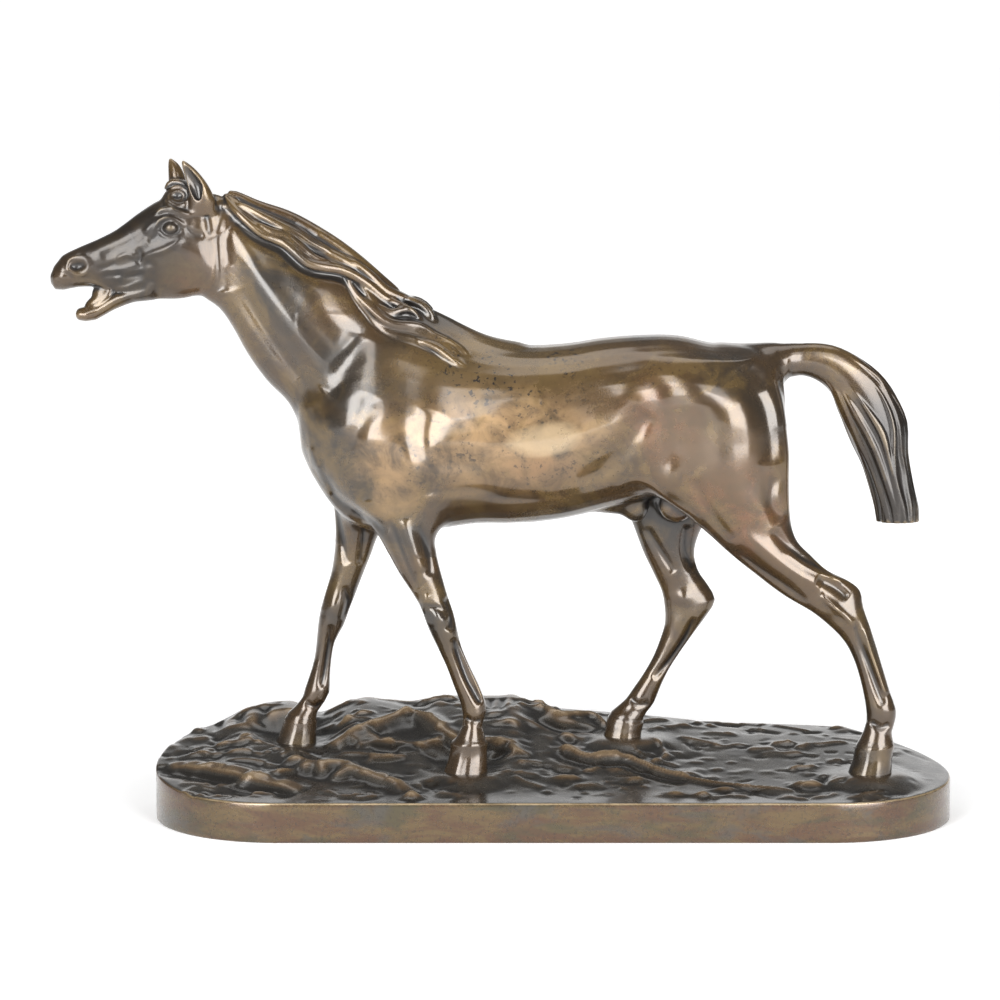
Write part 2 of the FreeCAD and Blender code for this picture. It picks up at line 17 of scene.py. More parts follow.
import bpy
import numpy as np
import openvdb as vdb
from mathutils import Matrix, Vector

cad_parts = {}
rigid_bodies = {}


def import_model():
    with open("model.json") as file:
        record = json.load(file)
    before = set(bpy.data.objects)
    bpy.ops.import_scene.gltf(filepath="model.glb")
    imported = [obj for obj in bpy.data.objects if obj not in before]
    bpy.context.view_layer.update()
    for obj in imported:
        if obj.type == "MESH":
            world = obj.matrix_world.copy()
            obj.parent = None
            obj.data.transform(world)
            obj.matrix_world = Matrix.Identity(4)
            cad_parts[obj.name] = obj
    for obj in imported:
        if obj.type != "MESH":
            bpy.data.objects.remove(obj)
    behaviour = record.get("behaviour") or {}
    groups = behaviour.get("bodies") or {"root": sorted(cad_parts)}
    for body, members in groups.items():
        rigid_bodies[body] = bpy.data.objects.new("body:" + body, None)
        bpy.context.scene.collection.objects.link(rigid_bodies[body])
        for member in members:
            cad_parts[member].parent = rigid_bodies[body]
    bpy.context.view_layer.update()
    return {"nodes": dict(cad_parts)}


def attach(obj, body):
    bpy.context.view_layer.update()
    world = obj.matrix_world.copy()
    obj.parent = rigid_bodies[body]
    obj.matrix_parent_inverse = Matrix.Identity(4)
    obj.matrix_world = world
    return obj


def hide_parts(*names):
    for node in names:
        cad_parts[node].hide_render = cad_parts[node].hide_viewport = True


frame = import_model()
log = logging.getLogger("statuette")

MM = 0.001


# ------------------------------------------------------------------------------ clay
class Side(Enum):
    """The side of the horse that a mark is made on."""

    NEAR = -1
    FAR = 1
    BOTH = 0


def smooth(t: np.ndarray) -> np.ndarray:
    """Ease from 0 to 1 as t goes from 0 to 1, with level ends."""
    t = np.clip(t, 0.0, 1.0)
    return t * t * (3.0 - 2.0 * t)


def path_points(text: str) -> np.ndarray:
    """Read a path written as "x z, x z, ..." or "x y z, ..."."""
    return np.array([[float(v) for v in point.split()] for point in text.split(",")], np.float32)


def fair_curve(points: np.ndarray, step: float) -> np.ndarray:
    """Lay a smooth curve through points.

    Args:
        points: rows of any number of values, the first two or three of them a place.
        step: the spacing of the curve's points.

    Returns:
        The curve's rows, the given ones among them.
    """
    rows = np.vstack([2 * points[0] - points[1], points, 2 * points[-1] - points[-2]])
    out = []
    for before, start, end, after in zip(rows, rows[1:], rows[2:], rows[3:]):
        count = max(1, int(round(float(np.linalg.norm((end - start)[:2])) / step)))
        t = (np.arange(count) / count)[:, None]
        h = t * t * (3 - 2 * t)
        slope_a, slope_b = (end - before) / 2, (after - start) / 2
        out.append(start * (1 - h) + end * h + slope_a * t * (1 - t) ** 2 - slope_b * t * t * (1 - t))
    out.append(rows[-2:-1])
    return np.vstack(out).astype(np.float32)


@dataclass(frozen=True)
class Ring:
    """A cross-section from edge point a to edge point b in the XZ plane."""

    ax: float
    az: float
    bx: float
    bz: float
    w: float
    y: float = 0.0
    widest: float = 0.5
    first: float = 2.0
    second: float = 2.0

    def row(self) -> list[float]:
        """The cross-section as plain numbers."""
        return [(self.ax + self.bx) / 2, (self.az + self.bz) / 2, self.ax, self.az, self.bx, self.bz,
                self.w, self.y, self.widest, self.first, self.second]


class Loft:
    """A closed skin over cross-sections."""

    def __init__(self, rings: list[Ring], step: float = 3.0, around: int = 40) -> None:
        """Lay the skin.

        Args:
            rings: the cross-sections in order.
            step: the spacing of the cross-sections that are put between them.
            around: the number of points round a cross-section.
        """
        rows = fair_curve(np.array([r.row() for r in rings], np.float32), step)
        angle = np.linspace(0, 2 * math.pi, around, endpoint=False)
        c, s = np.cos(angle), np.sin(angle)
        self.rows = rows
        loops = [self._loop(row, c, s) for row in rows]
        count = len(loops)
        body = np.vstack(loops)
        ends = np.array([loops[0].mean(axis=0), loops[-1].mean(axis=0)])
        self.points = np.vstack([body, ends]).astype(np.float32)
        i, j = np.meshgrid(np.arange(count - 1), np.arange(around), indexing="ij")
        i, j, k = i.ravel(), j.ravel(), (j.ravel() + 1) % around
        self.quads = np.stack([i * around + j, i * around + k, (i + 1) * around + k,
                               (i + 1) * around + j], axis=1).astype(np.int32)
        j, k = np.arange(around), (np.arange(around) + 1) % around
        first, last = len(body), len(body) + 1
        start = np.stack([np.full(around, first), k, j], axis=1)
        end = np.stack([np.full(around, last), (count - 1) * around + j, (count - 1) * around + k], axis=1)
        self.triangles = np.vstack([start, end]).astype(np.int32)
        self.low, self.high = self.points.min(axis=0), self.points.max(axis=0)

    @staticmethod
    def _loop(row: np.ndarray, c: np.ndarray, s: np.ndarray) -> np.ndarray:
        """The points round one cross-section."""
        _, _, ax, az, bx, bz, w, y, widest, first, second = row
        power = np.where(c > 0, 2.0 / first, 2.0 / second)
        along = np.sign(c) * np.abs(c) ** power
        across = np.sign(s) * np.abs(s) ** power
        share = widest - np.where(c > 0, widest * along, (1 - widest) * along)
        return np.stack([ax + (bx - ax) * share, y + w * across, az + (bz - az) * share], axis=1)

    def distances(self, clay: "Clay", window: tuple) -> np.ndarray:
        """Signed distances to the skin over a window of the clay."""
        grid = vdb.FloatGrid.createLevelSetFromPolygons(
            self.points - clay.low, triangles=self.triangles, quads=self.quads,
            transform=vdb.createLinearTransform(voxelSize=clay.voxel), halfWidth=REACH / clay.voxel)
        out = np.empty([s.stop - s.start for s in window], np.float32)
        grid.copyToArray(out, ijk=tuple(s.start for s in window))
        return out


class Pad:
    """A rounded mass, an ellipsoid turned about Y."""

    def __init__(self, x: float, y: float, z: float, rx: float, ry: float, rz: float,
                 tilt: float = 0.0) -> None:
        """Place the mass.

        Args:
            x, y, z: its middle.
            rx, ry, rz: its half-lengths.
            tilt: degrees about Y that lower its +X end.
        """
        self.centre = np.array([x, y, z], np.float32)
        self.radii = (rx, ry, rz)
        t = math.radians(tilt)
        self.turn = np.array([[math.cos(t), 0, -math.sin(t)], [0, 1, 0], [math.sin(t), 0, math.cos(t)]])
        reach = float(max(self.radii))
        self.low, self.high = self.centre - reach, self.centre + reach

    def distances(self, clay: "Clay", window: tuple) -> np.ndarray:
        """Signed distances to the mass, near enough, over a window of the clay."""
        d = [g - c for g, c in zip(clay.coordinates(window), self.centre)]
        local = [sum(self.turn[i][j] * d[j] for j in range(3)) for i in range(3)]
        near = np.sqrt(sum((p / r) ** 2 for p, r in zip(local, self.radii)))
        slope = np.sqrt(sum((p / r ** 2) ** 2 for p, r in zip(local, self.radii)))
        return (near * (near - 1.0) / np.maximum(slope, 1e-4)).astype(np.float32)


class Strand:
    """A round rope along a path whose thickness varies."""

    def __init__(self, path: np.ndarray, radius: np.ndarray) -> None:
        """Place the rope.

        Args:
            path: rows of x, y, z.
            radius: the radius at each row.
        """
        self.path, self.radius = path, radius
        self.margin = 2.5
        reach = float(radius.max())
        self.low, self.high = path.min(axis=0) - reach, path.max(axis=0) + reach

    def distances(self, clay: "Clay", window: tuple) -> np.ndarray:
        """Signed distances to the rope over a window of the clay."""
        best = np.full([s.stop - s.start for s in window], REACH, np.float32)
        first = np.array([s.start for s in window])
        for a, b, ra, rb in zip(self.path, self.path[1:], self.radius, self.radius[1:]):
            reach = max(ra, rb) + self.margin
            part = clay.window(np.minimum(a, b), np.maximum(a, b), reach)
            if part is None:
                continue
            low = np.maximum([s.start for s in part], first)
            high = np.minimum([s.stop for s in part], first + best.shape)
            if np.any(high <= low):
                continue
            part = tuple(slice(int(p), int(q)) for p, q in zip(low, high))
            inner = tuple(slice(int(p), int(q)) for p, q in zip(low - first, high - first))
            gx, gy, gz = clay.coordinates(part)
            d = b - a
            px, py, pz = gx - a[0], gy - a[1], gz - a[2]
            run = max(1e-6, float(d[0] ** 2 + d[1] ** 2 + d[2] ** 2))
            t = np.clip((px * d[0] + py * d[1] + pz * d[2]) / run, 0, 1)
            gap = np.sqrt((px - t * d[0]) ** 2 + (py - t * d[1]) ** 2 + (pz - t * d[2]) ** 2)
            best[inner] = np.minimum(best[inner], gap - (ra + (rb - ra) * t))
        return best


REACH = 8.0     # how far from a surface distances are kept


class Clay:
    """A block of clay, as signed distances on an even grid."""

    def __init__(self, low: tuple, high: tuple, voxel: float) -> None:
        """Start with an empty block between two corners."""
        self.low = np.array(low, np.float32)
        self.voxel = voxel
        size = np.ceil((np.array(high) - self.low) / voxel).astype(int) + 1
        self.field = np.full(size, REACH, np.float32)

    def window(self, low: np.ndarray, high: np.ndarray, reach: float) -> tuple | None:
        """The slices of the grid round a box, or None where it is all outside."""
        first = np.maximum(np.floor((low - reach - self.low) / self.voxel).astype(int), 0)
        last = np.minimum(np.ceil((high + reach - self.low) / self.voxel).astype(int) + 1,
                          self.field.shape)
        if np.any(last <= first):
            return None
        return tuple(slice(int(a), int(b)) for a, b in zip(first, last))

    def coordinates(self, window: tuple) -> list[np.ndarray]:
        """The grid's x, y and z over a window, ready to broadcast."""
        axes = []
        for axis, span in enumerate(window):
            values = self.low[axis] + self.voxel * np.arange(span.start, span.stop, dtype=np.float32)
            axes.append(values.reshape([-1 if i == axis else 1 for i in range(3)]))
        return axes

    def add(self, form: Loft | Pad | Strand, blend: float) -> None:
        """Join a form to the clay, with a fillet of about blend."""
        window = self.window(form.low, form.high, blend + self.voxel)
        if window:
            a, b = self.field[window], form.distances(self, window)
            h = np.clip(blend - np.abs(a - b), 0, None) / blend
            self.field[window] = np.minimum(a, b) - h * h * (blend / 4)

    def carve(self, form: Loft | Pad | Strand, blend: float) -> None:
        """Cut a form out of the clay, with edges rounded by about blend."""
        window = self.window(form.low, form.high, blend + self.voxel)
        if window:
            a, b = self.field[window], -form.distances(self, window)
            h = np.clip(blend - np.abs(a - b), 0, None) / blend
            self.field[window] = np.maximum(a, b) + h * h * (blend / 4)

    def soften(self, times: int = 1) -> None:
        """Even out the surface over about a voxel."""
        for _ in range(times):
            for axis in range(3):
                f = np.moveaxis(self.field, axis, 0)
                f[1:-1] = (f[:-2] + 2 * f[1:-1] + f[2:]) / 4

    def roughen(self, size: float, height: float, seed: int) -> None:
        """Give the surface the slight unevenness of handwork.

        Args:
            size: the spacing of the bumps.
            height: about how high they are.
            seed: which pattern.
        """
        counts = [int(math.ceil(span / size)) + 4 for span in (400, 100, 300)]
        bumps = np.random.default_rng(seed).normal(0, height, counts).astype(np.float32)
        start = np.array([-200.0, -50.0, -10.0])
        for axis in range(3):
            place = (self.low[axis] + self.voxel * np.arange(self.field.shape[axis]) - start[axis]) / size + 1
            t = place[:, None] - np.arange(counts[axis])[None, :]
            a = np.abs(t)
            weight = np.where(a < 1, 2 / 3 - a ** 2 + a ** 3 / 2, np.clip(2 - a, 0, None) ** 3 / 6)
            bumps = np.moveaxis(np.tensordot(weight.astype(np.float32), bumps, (1, axis)), 0, axis)
        self.field += bumps

    def side_y(self, path: np.ndarray, side: int) -> np.ndarray:
        """Where the clay's surface lies in Y along a path of x, z.

        Args:
            path: rows of x, z.
            side: -1 for the near side, 1 for the far side.

        Returns:
            The Y of the outermost clay at each row, or 0 where there is none.
        """
        found = []
        for x, z in path:
            i = int(np.clip(round((x - self.low[0]) / self.voxel), 0, self.field.shape[0] - 1))
            k = int(np.clip(round((z - self.low[2]) / self.voxel), 0, self.field.shape[2] - 1))
            column = self.field[i, ::-side, k]
            inside = int(np.argmax(column < 0))
            if column[inside] >= 0 or inside == 0:
                found.append(0.0)
                continue
            share = column[inside - 1] / (column[inside - 1] - column[inside])
            row = inside - 1 + share
            row = row if side < 0 else self.field.shape[1] - 1 - row
            found.append(self.low[1] + self.voxel * row)
        return np.array(found, np.float32)

    def sample(self, points: np.ndarray, values: np.ndarray | None = None) -> np.ndarray:
        """The distances at points, between the grid's own by proportion."""
        values = self.field if values is None else values
        p = (points - self.low) / self.voxel
        i = np.clip(np.floor(p).astype(int), 0, np.array(values.shape) - 2)
        f = (p - i).astype(np.float32)
        total = np.zeros(len(points), np.float32)
        for dx in (0, 1):
            for dy in (0, 1):
                for dz in (0, 1):
                    share = (np.abs(1 - dx - f[:, 0]) * np.abs(1 - dy - f[:, 1]) * np.abs(1 - dz - f[:, 2]))
                    total += share * values[i[:, 0] + dx, i[:, 1] + dy, i[:, 2] + dz]
        return total

    def normals(self, points: np.ndarray, reach: float = 1.0) -> np.ndarray:
        """The outward directions of the surface at points."""
        h = self.voxel * reach
        slopes = []
        for axis in range(3):
            shift = np.zeros(3, np.float32)
            shift[axis] = h
            slopes.append(self.sample(points + shift) - self.sample(points - shift))
        n = np.stack(slopes, axis=1)
        return n / np.maximum(np.linalg.norm(n, axis=1, keepdims=True), 1e-9)

    def skin(self) -> tuple[np.ndarray, np.ndarray]:
        """The clay's surface.

        Returns:
            The points, and the quads that join them.
        """
        grid = vdb.FloatGrid(3 * self.voxel)
        band = 3 * self.voxel
        grid.copyFromArray(np.clip(self.field, -band, band))
        points, quads = grid.convertToQuads(isovalue=0.0)
        points = points * self.voxel + self.low
        most = 0.4 * self.voxel
        for _ in range(2):
            step = np.clip(self.sample(points), -most, most)
            points = points - step[:, None] * self.normals(points)
        return points.astype(np.float32), quads


# ------------------------------------------------------------------------------ marks on the sides
@dataclass(frozen=True)
class Mark:
    """A ridge or a groove drawn on the side of the horse.

    height is how far it stands out, or below 0 how deep it is. With step above 0 one side of the
    line is raised and the other side is let in, as along the edge of a muscle or a lock of hair.
    """

    path: str
    width: float
    height: float
    step: bool = False
    side: Side = Side.BOTH
    placed: bool = False

    def press(self, gx: np.ndarray, gz: np.ndarray, low: np.ndarray, voxel: float,
              relief: np.ndarray) -> None:
        """Add the mark to a map of the relief over X and Z."""
        line = fair_curve(path_points(self.path), max(1.0, self.width * 0.8))
        reach = self.width * 2.6
        first = np.maximum(((line.min(axis=0) - reach - low) / voxel).astype(int), 0)
        last = np.minimum(((line.max(axis=0) + reach - low) / voxel).astype(int) + 1, relief.shape)
        if np.any(last <= first):
            return
        x, z = gx[first[0]:last[0], None], gz[None, first[1]:last[1]]
        best = np.full((x.shape[0], z.shape[1]), 1e9, np.float32)
        sign, along = np.ones_like(best), np.zeros_like(best)
        runs = len(line) - 1
        for i, (a, b) in enumerate(zip(line, line[1:])):
            dx, dz = b - a
            px, pz = x - a[0], z - a[1]
            t = np.clip((px * dx + pz * dz) / max(1e-6, float(dx * dx + dz * dz)), 0, 1)
            gap = np.hypot(px - t * dx, pz - t * dz)
            nearer = gap < best
            best = np.where(nearer, gap, best)
            sign = np.where(nearer, np.sign(dx * pz - dz * px), sign)
            along = np.where(nearer, (i + t) / runs, along)
        taper = np.sqrt(np.clip(1 - (2 * along - 1) ** 4, 0, 1))
        share = best / self.width
        shape = np.exp(-share ** 2)
        if self.step:
            shape = sign * share * np.exp(-share ** 2 * 0.7) * 1.6
        relief[first[0]:last[0], first[1]:last[1]] += self.height * taper * shape


@dataclass(frozen=True)
class Swell:
    """A soft pad or hollow on the side of the horse: middle, half-lengths, tilt and height."""

    x: float
    z: float
    rx: float
    rz: float
    height: float
    tilt: float = 0.0
    side: Side = Side.BOTH
    edge: float = 2.0
    placed: bool = False

    def press(self, gx: np.ndarray, gz: np.ndarray, low: np.ndarray, voxel: float,
              relief: np.ndarray) -> None:
        """Add the pad to a map of the relief over X and Z."""
        c, s = math.cos(math.radians(self.tilt)), math.sin(math.radians(self.tilt))
        px, pz = gx[:, None] - self.x, gz[None, :] - self.z
        u, v = (c * px - s * pz) / self.rx, (s * px + c * pz) / self.rz
        relief += self.height * np.exp(-(u * u + v * v) ** (self.edge / 2))


def press_sides(clay: Clay, marks: list) -> None:
    """Work the marks into the clay's two sides, fading where the surface turns away from them."""
    gx, gz = (clay.low[i] + clay.voxel * np.arange(clay.field.shape[i]) for i in (0, 2))
    low = clay.low[[0, 2]]
    middle = int(round(-clay.low[1] / clay.voxel))
    for side, span in ((Side.NEAR, slice(0, middle)), (Side.FAR, slice(middle, None))):
        relief = np.zeros((len(gx), len(gz)), np.float32)
        for mark in marks:
            if mark.side in (side, Side.BOTH):
                mark.press(gx, gz, low, clay.voxel, relief)
        part = clay.field[:, span]
        facing = smooth(np.abs(np.gradient(part, clay.voxel, axis=1)) / 0.55)
        part -= relief[:, None, :] * facing


# ------------------------------------------------------------------------------ the horse's masses
TORSO = [
    Ring(-79.2, 161, -78.8, 150, 4.0),
    Ring(-75.5, 171, -74.5, 140, 12.5),
    Ring(-66, 184, -65.5, 126.5, 20.5),
    Ring(-55, 194, -54.5, 118.5, 25.0),
    Ring(-41, 203, -41, 116.5, 28.0, widest=0.55, first=1.6),
    Ring(-26, 200, -26, 117.3, 29.4, widest=0.56, first=1.5),
    Ring(-10, 193.8, -10, 119.4, 30.2, widest=0.52, first=1.75),
    Ring(6, 190.8, 6, 119.7, 31.0, widest=0.5, first=2.0),
    Ring(24, 191.4, 24, 121.4, 31.2, widest=0.48, first=2.05),
    Ring(40, 193.8, 40, 125.2, 30.0, widest=0.46, first=2.0),
    Ring(56, 194.9, 56, 129, 28.5, widest=0.42, first=2.0),
    Ring(70, 194.6, 70, 133, 28.0, widest=0.4, first=2.0),
    Ring(84, 191.4, 84, 137, 27.0, widest=0.4, first=2.1),
    Ring(97, 190.0, 97, 142, 22.5, first=2.1),
    Ring(107, 189.2, 108, 150, 14.0),
    Ring(111, 185, 112, 158, 8.5),
]

NECK = [
    Ring(4, 188.6, -52, 120, 16.0, widest=0.55, first=1.6),
    Ring(-8, 192.4, -62, 124, 19.0, widest=0.55, first=1.55),
    Ring(-22, 200.4, -74.5, 142, 18.5, widest=0.58, first=1.45),
    Ring(-36, 208.6, -79.8, 156, 17.0, widest=0.6, first=1.45),
    Ring(-50, 217, -85.5, 168, 15.2, widest=0.6, first=1.45),
    Ring(-64, 228, -94, 177, 13.8, widest=0.6, first=1.45),
    Ring(-78, 235.6, -101.5, 187.5, 12.4, widest=0.6, first=1.5),
    Ring(-92, 242.2, -107.5, 198.5, 11.2, widest=0.58, first=1.55),
    Ring(-104, 247, -112.5, 205.5, 10.2, widest=0.55, first=1.65),
    Ring(-113, 250.2, -118, 209.5, 9.2, widest=0.5, first=1.8),
    Ring(-120, 251.0, -123, 214, 7.5, widest=0.5, first=2.0),
]

HEAD = [
    Ring(-113, 249, -113.5, 218, 6.5),
    Ring(-121, 251.0, -119, 212, 9.0, first=2.2),
    Ring(-130, 250.6, -127, 209.4, 10.2, widest=0.36, first=2.3),
    Ring(-138, 247.4, -136, 209.2, 9.8, widest=0.32, first=2.4),
    Ring(-146, 242.0, -144, 209.0, 8.2, widest=0.34, first=2.3),
    Ring(-153, 236.8, -151.5, 211.5, 7.0, widest=0.4, first=2.2),
    Ring(-161, 232.8, -160, 213.8, 6.4, widest=0.45, first=2.2),
    Ring(-169, 229.4, -168.4, 214.0, 6.4, widest=0.5, first=2.3),
    Ring(-174.8, 226.4, -174.2, 212.8, 6.2, widest=0.5),
    Ring(-178.0, 222.4, -177.6, 213.0, 4.9),
    Ring(-179.4, 219.2, -179.2, 215.2, 2.6),
]

LOWER_JAW = [
    Ring(-139, 218, -139, 209.6, 6.0),
    Ring(-148, 215.4, -147.6, 207.6, 5.4),
    Ring(-155.5, 211.4, -155, 204.6, 4.6),
    Ring(-161, 207.6, -161.6, 200.8, 4.5),
    Ring(-165.2, 206.0, -165.6, 200.2, 4.8),
    Ring(-168.2, 205.8, -168.6, 200.7, 4.1),
    Ring(-169.4, 204.8, -169.6, 201.8, 2.8),
]

NEAR_FORELEG = [
    Ring(-64, 150, -20, 148, 9.0, -14.0),
    Ring(-56, 129, -24.5, 125, 9.6, -14.5),
    Ring(-50.5, 119, -27, 115.5, 8.8, -15.2),
    Ring(-46.5, 111.5, -26, 108, 8.0, -15.5),
    Ring(-41.5, 102, -23.7, 99, 7.2, -16.0),
    Ring(-36, 93.5, -21.6, 91.5, 6.4, -16.2),
    Ring(-31.6, 86, -19.6, 85.5, 6.4, -16.5),
    Ring(-29.6, 79.5, -18, 78.5, 6.3, -16.5),
    Ring(-26.6, 73, -16.4, 72, 5.0, -16.5),
    Ring(-22.6, 64.5, -13.2, 63.5, 4.1, -16.5),
    Ring(-19.4, 56, -9.4, 55.5, 4.1, -16.5),
    Ring(-17, 49.5, -6.8, 49.5, 4.7, -16.5),
    Ring(-16, 45, -6.6, 45.5, 4.8, -16.5),
    Ring(-16.2, 40, -8.2, 40, 4.5, -16.5),
    Ring(-18.0, 36.5, -7.2, 36.5, 5.4, -16.5),
    Ring(-19.8, 33.0, -7.0, 33.0, 6.2, -16.5),
    Ring(-19.0, 29.0, -8.4, 29.0, 4.6, -16.5),
]
NEAR_FORE_HOOF = [
    Ring(-20.0, 33.0, -6.8, 33.0, 6.4, -16.5),
    Ring(-21.6, 27, -6.2, 27, 7.3, -16.5, first=2.1, second=2.3),
    Ring(-24.4, 19.4, -6.0, 19.4, 8.2, -16.5, first=2.1, second=2.4),
]

FAR_FORELEG = [
    Ring(-70, 148, -36, 146, 9.0, 14.0),
    Ring(-68.6, 128, -43.5, 124, 9.6, 15.0),
    Ring(-67.6, 117, -50, 113, 8.8, 15.6),
    Ring(-67.8, 109, -53, 105, 8.0, 16.0),
    Ring(-69.3, 98, -57, 95, 7.0, 16.5),
    Ring(-71.6, 89.5, -60, 87, 6.4, 16.5),
    Ring(-73.8, 82, -62.4, 81, 6.4, 16.5),
    Ring(-75, 75, -64.6, 75, 6.0, 16.5),
    Ring(-75.6, 68.5, -68, 68.5, 4.6, 16.5),
    Ring(-76.6, 61, -69.6, 61, 4.0, 16.5),
    Ring(-78.8, 53.5, -70.2, 54, 4.2, 16.5),
    Ring(-80.5, 48.6, -70.4, 47.6, 4.8, 16.5),
    Ring(-81.4, 45.4, -72.4, 43.6, 4.6, 16.5),
    Ring(-84.4, 41.6, -75.4, 39.4, 4.6, 16.5),
    Ring(-87.4, 39.0, -76.0, 37.2, 6.0, 16.5),
    Ring(-87.4, 34.5, -77.6, 33.5, 5.0, 16.5),
]
FAR_FORE_HOOF = [
    Ring(-88.4, 36.6, -76.2, 35.2, 6.4, 16.5),
    Ring(-90.2, 32.0, -76, 31.4, 7.2, 16.5, first=2.1, second=2.3),
    Ring(-93.2, 25.0, -75.8, 24.6, 8.0, 16.5, first=2.1, second=2.4),
]

NEAR_HINDLEG = [
    Ring(54, 184, 99, 186, 8.0, -13.0),
    Ring(47, 168, 109, 171, 12.0, -15.4),
    Ring(47.5, 150, 113, 153, 13.2, -15.8),
    Ring(53, 139.5, 113.4, 137, 12.4, -16.0),
    Ring(65, 130.5, 114, 123.5, 10.8, -16.2),
    Ring(79, 119.5, 116.4, 115, 9.2, -16.4),
    Ring(90, 109.5, 121.6, 109.3, 7.8, -16.5),
    Ring(101, 100.6, 128.8, 102.8, 6.6, -16.5),
    Ring(112, 92.4, 137, 98.7, 5.7, -16.5),
    Ring(122.2, 86.4, 141.9, 94.6, 5.8, -16.5),
    Ring(130.2, 80.0, 143.4, 87.5, 6.0, -16.5),
    Ring(136, 73.8, 146.4, 79, 5.2, -16.5),
    Ring(139.6, 67, 149.2, 70.4, 4.4, -16.5),
    Ring(142, 60, 151.9, 61.5, 4.0, -16.5),
    Ring(143.8, 53, 154.5, 53, 4.2, -16.5),
    Ring(144.8, 47.4, 156.8, 46.6, 4.8, -16.5),
    Ring(145, 42, 156.4, 41.6, 4.6, -16.5),
    Ring(143.8, 37.6, 155.2, 37.4, 5.0, -16.5),
    Ring(142.0, 33.6, 155.8, 33.6, 6.0, -16.5),
    Ring(142.0, 29, 154.0, 29, 5.0, -16.5),
]
NEAR_HIND_HOOF = [
    Ring(141.4, 31.6, 155.8, 31.6, 6.5, -16.5),
    Ring(139.8, 26, 155.4, 26, 7.2, -16.5, first=2.1, second=2.3),
    Ring(137.4, 19.0, 155.4, 19.0, 8.0, -16.5, first=2.1, second=2.4),
]

FAR_HINDLEG = [
    Ring(48, 182, 97, 184, 8.0, 13.0),
    Ring(44, 164, 106, 168, 12.0, 15.4),
    Ring(44, 146, 108, 148, 12.8, 15.8),
    Ring(47, 132, 98, 133, 11.6, 16.0),
    Ring(51.5, 119.5, 83.4, 119.5, 9.4, 16.2),
    Ring(56.3, 106.5, 77.8, 106.8, 7.6, 16.5),
    Ring(60.8, 96.8, 79.0, 98, 6.3, 16.5),
    Ring(64.4, 89.2, 83.2, 91.6, 5.6, 16.5),
    Ring(65.6, 82.6, 86.2, 85.6, 5.8, 16.5),
    Ring(65.8, 76.6, 83.0, 79.6, 5.8, 16.5),
    Ring(64.4, 70.6, 77.6, 72, 4.8, 16.5),
    Ring(61.6, 63, 72.4, 64.6, 4.2, 16.5),
    Ring(57.6, 55.6, 67.6, 56.8, 4.0, 16.5),
    Ring(53.2, 49, 64, 49.2, 4.4, 16.5),
    Ring(50.2, 44.6, 61.6, 43.2, 4.8, 16.5),
    Ring(46.6, 41.4, 58.8, 39.4, 4.6, 16.5),
    Ring(44.2, 39.4, 57.2, 36.8, 6.0, 16.5),
    Ring(43.8, 35.0, 55.6, 33.0, 5.0, 16.5),
]
FAR_HIND_HOOF = [
    Ring(43.4, 37.0, 56.8, 34.6, 6.4, 16.5),
    Ring(42.4, 34, 56.4, 32.6, 7.0, 16.5, first=2.1, second=2.3),
    Ring(40.6, 27.6, 56.4, 27.4, 7.8, 16.5, first=2.1, second=2.4),
]

DOCK = [
    Ring(88, 189.0, 88, 168, 14.0),
    Ring(99, 189.2, 99, 174.5, 9.0),
    Ring(108, 189.6, 108, 178.6, 5.0),
    Ring(114, 189.4, 114, 180.6, 3.6),
]
TAIL = [
    Ring(98, 188.6, 98, 178.0, 4.6),
    Ring(105, 189.6, 105, 178.4, 5.2),
    Ring(112, 190.4, 112.2, 178.5, 5.3),
    Ring(121, 191.7, 119.8, 178.6, 5.3),
    Ring(131.2, 190.8, 126.2, 176.0, 5.4),
    Ring(140.6, 186.6, 130.8, 171.6, 5.8),
    Ring(149.4, 179.6, 134.0, 165.0, 6.3),
    Ring(156.0, 170.6, 136.8, 158.4, 6.7),
    Ring(160.6, 160, 139.8, 151.2, 6.9),
    Ring(161.2, 147.5, 143.6, 143.6, 6.8),
    Ring(163.2, 136, 146.6, 135, 6.5),
    Ring(165.6, 126, 149.2, 126, 6.1),
    Ring(166.0, 120.0, 150.4, 119.0, 5.8),
]


# ------------------------------------------------------------------------------ muscles and folds
@dataclass(frozen=True)
class Sight:
    """Takes details from the upright plane that they are drawn on to the side that they lie on.

    A detail stays in the same line of sight from the camera.
    """

    side_y: float
    plane_y: float = 0.0
    eye_x: float = -1.1
    eye_z: float = 352.0
    eye_distance: float = 1600.0
    drawn_depth: float = 1619.4     # how far along its view the camera sees the plane at Y 0
    floor_depth: float = 1633.3     # how far along its view the camera sees the floor at Y 0
    depth_fall: float = 0.1383      # how much nearer a place is for each millimetre that it is higher

    def point(self, x: float, z: float) -> tuple[float, float]:
        """Where a drawn point lies on the side, to a tenth of a millimetre."""
        depth = self.floor_depth - self.depth_fall * z
        out_x = (x - self.eye_x) * (depth + self.side_y) / (self.drawn_depth + self.plane_y) + self.eye_x
        nearer = (self.eye_distance + self.side_y) / (self.eye_distance + self.plane_y)
        return round(out_x, 1), round(self.eye_z - (self.eye_z - z) * nearer, 1)

    def bring(self, details: tuple) -> tuple:
        """The same details on the side; placed ones and those of the far side stay where they are."""
        made = []
        for detail in details:
            if detail.placed or detail.side is Side.FAR:
                made.append(detail)
            elif isinstance(detail, Swell):
                x, z = self.point(detail.x, detail.z)
                made.append(replace(detail, x=x, z=z))
            else:
                points = [self.point(*(float(v) for v in point.split())) for point in detail.path.split(",")]
                made.append(replace(detail, path=", ".join(f"{x} {z}" for x, z in points)))
        return tuple(made)


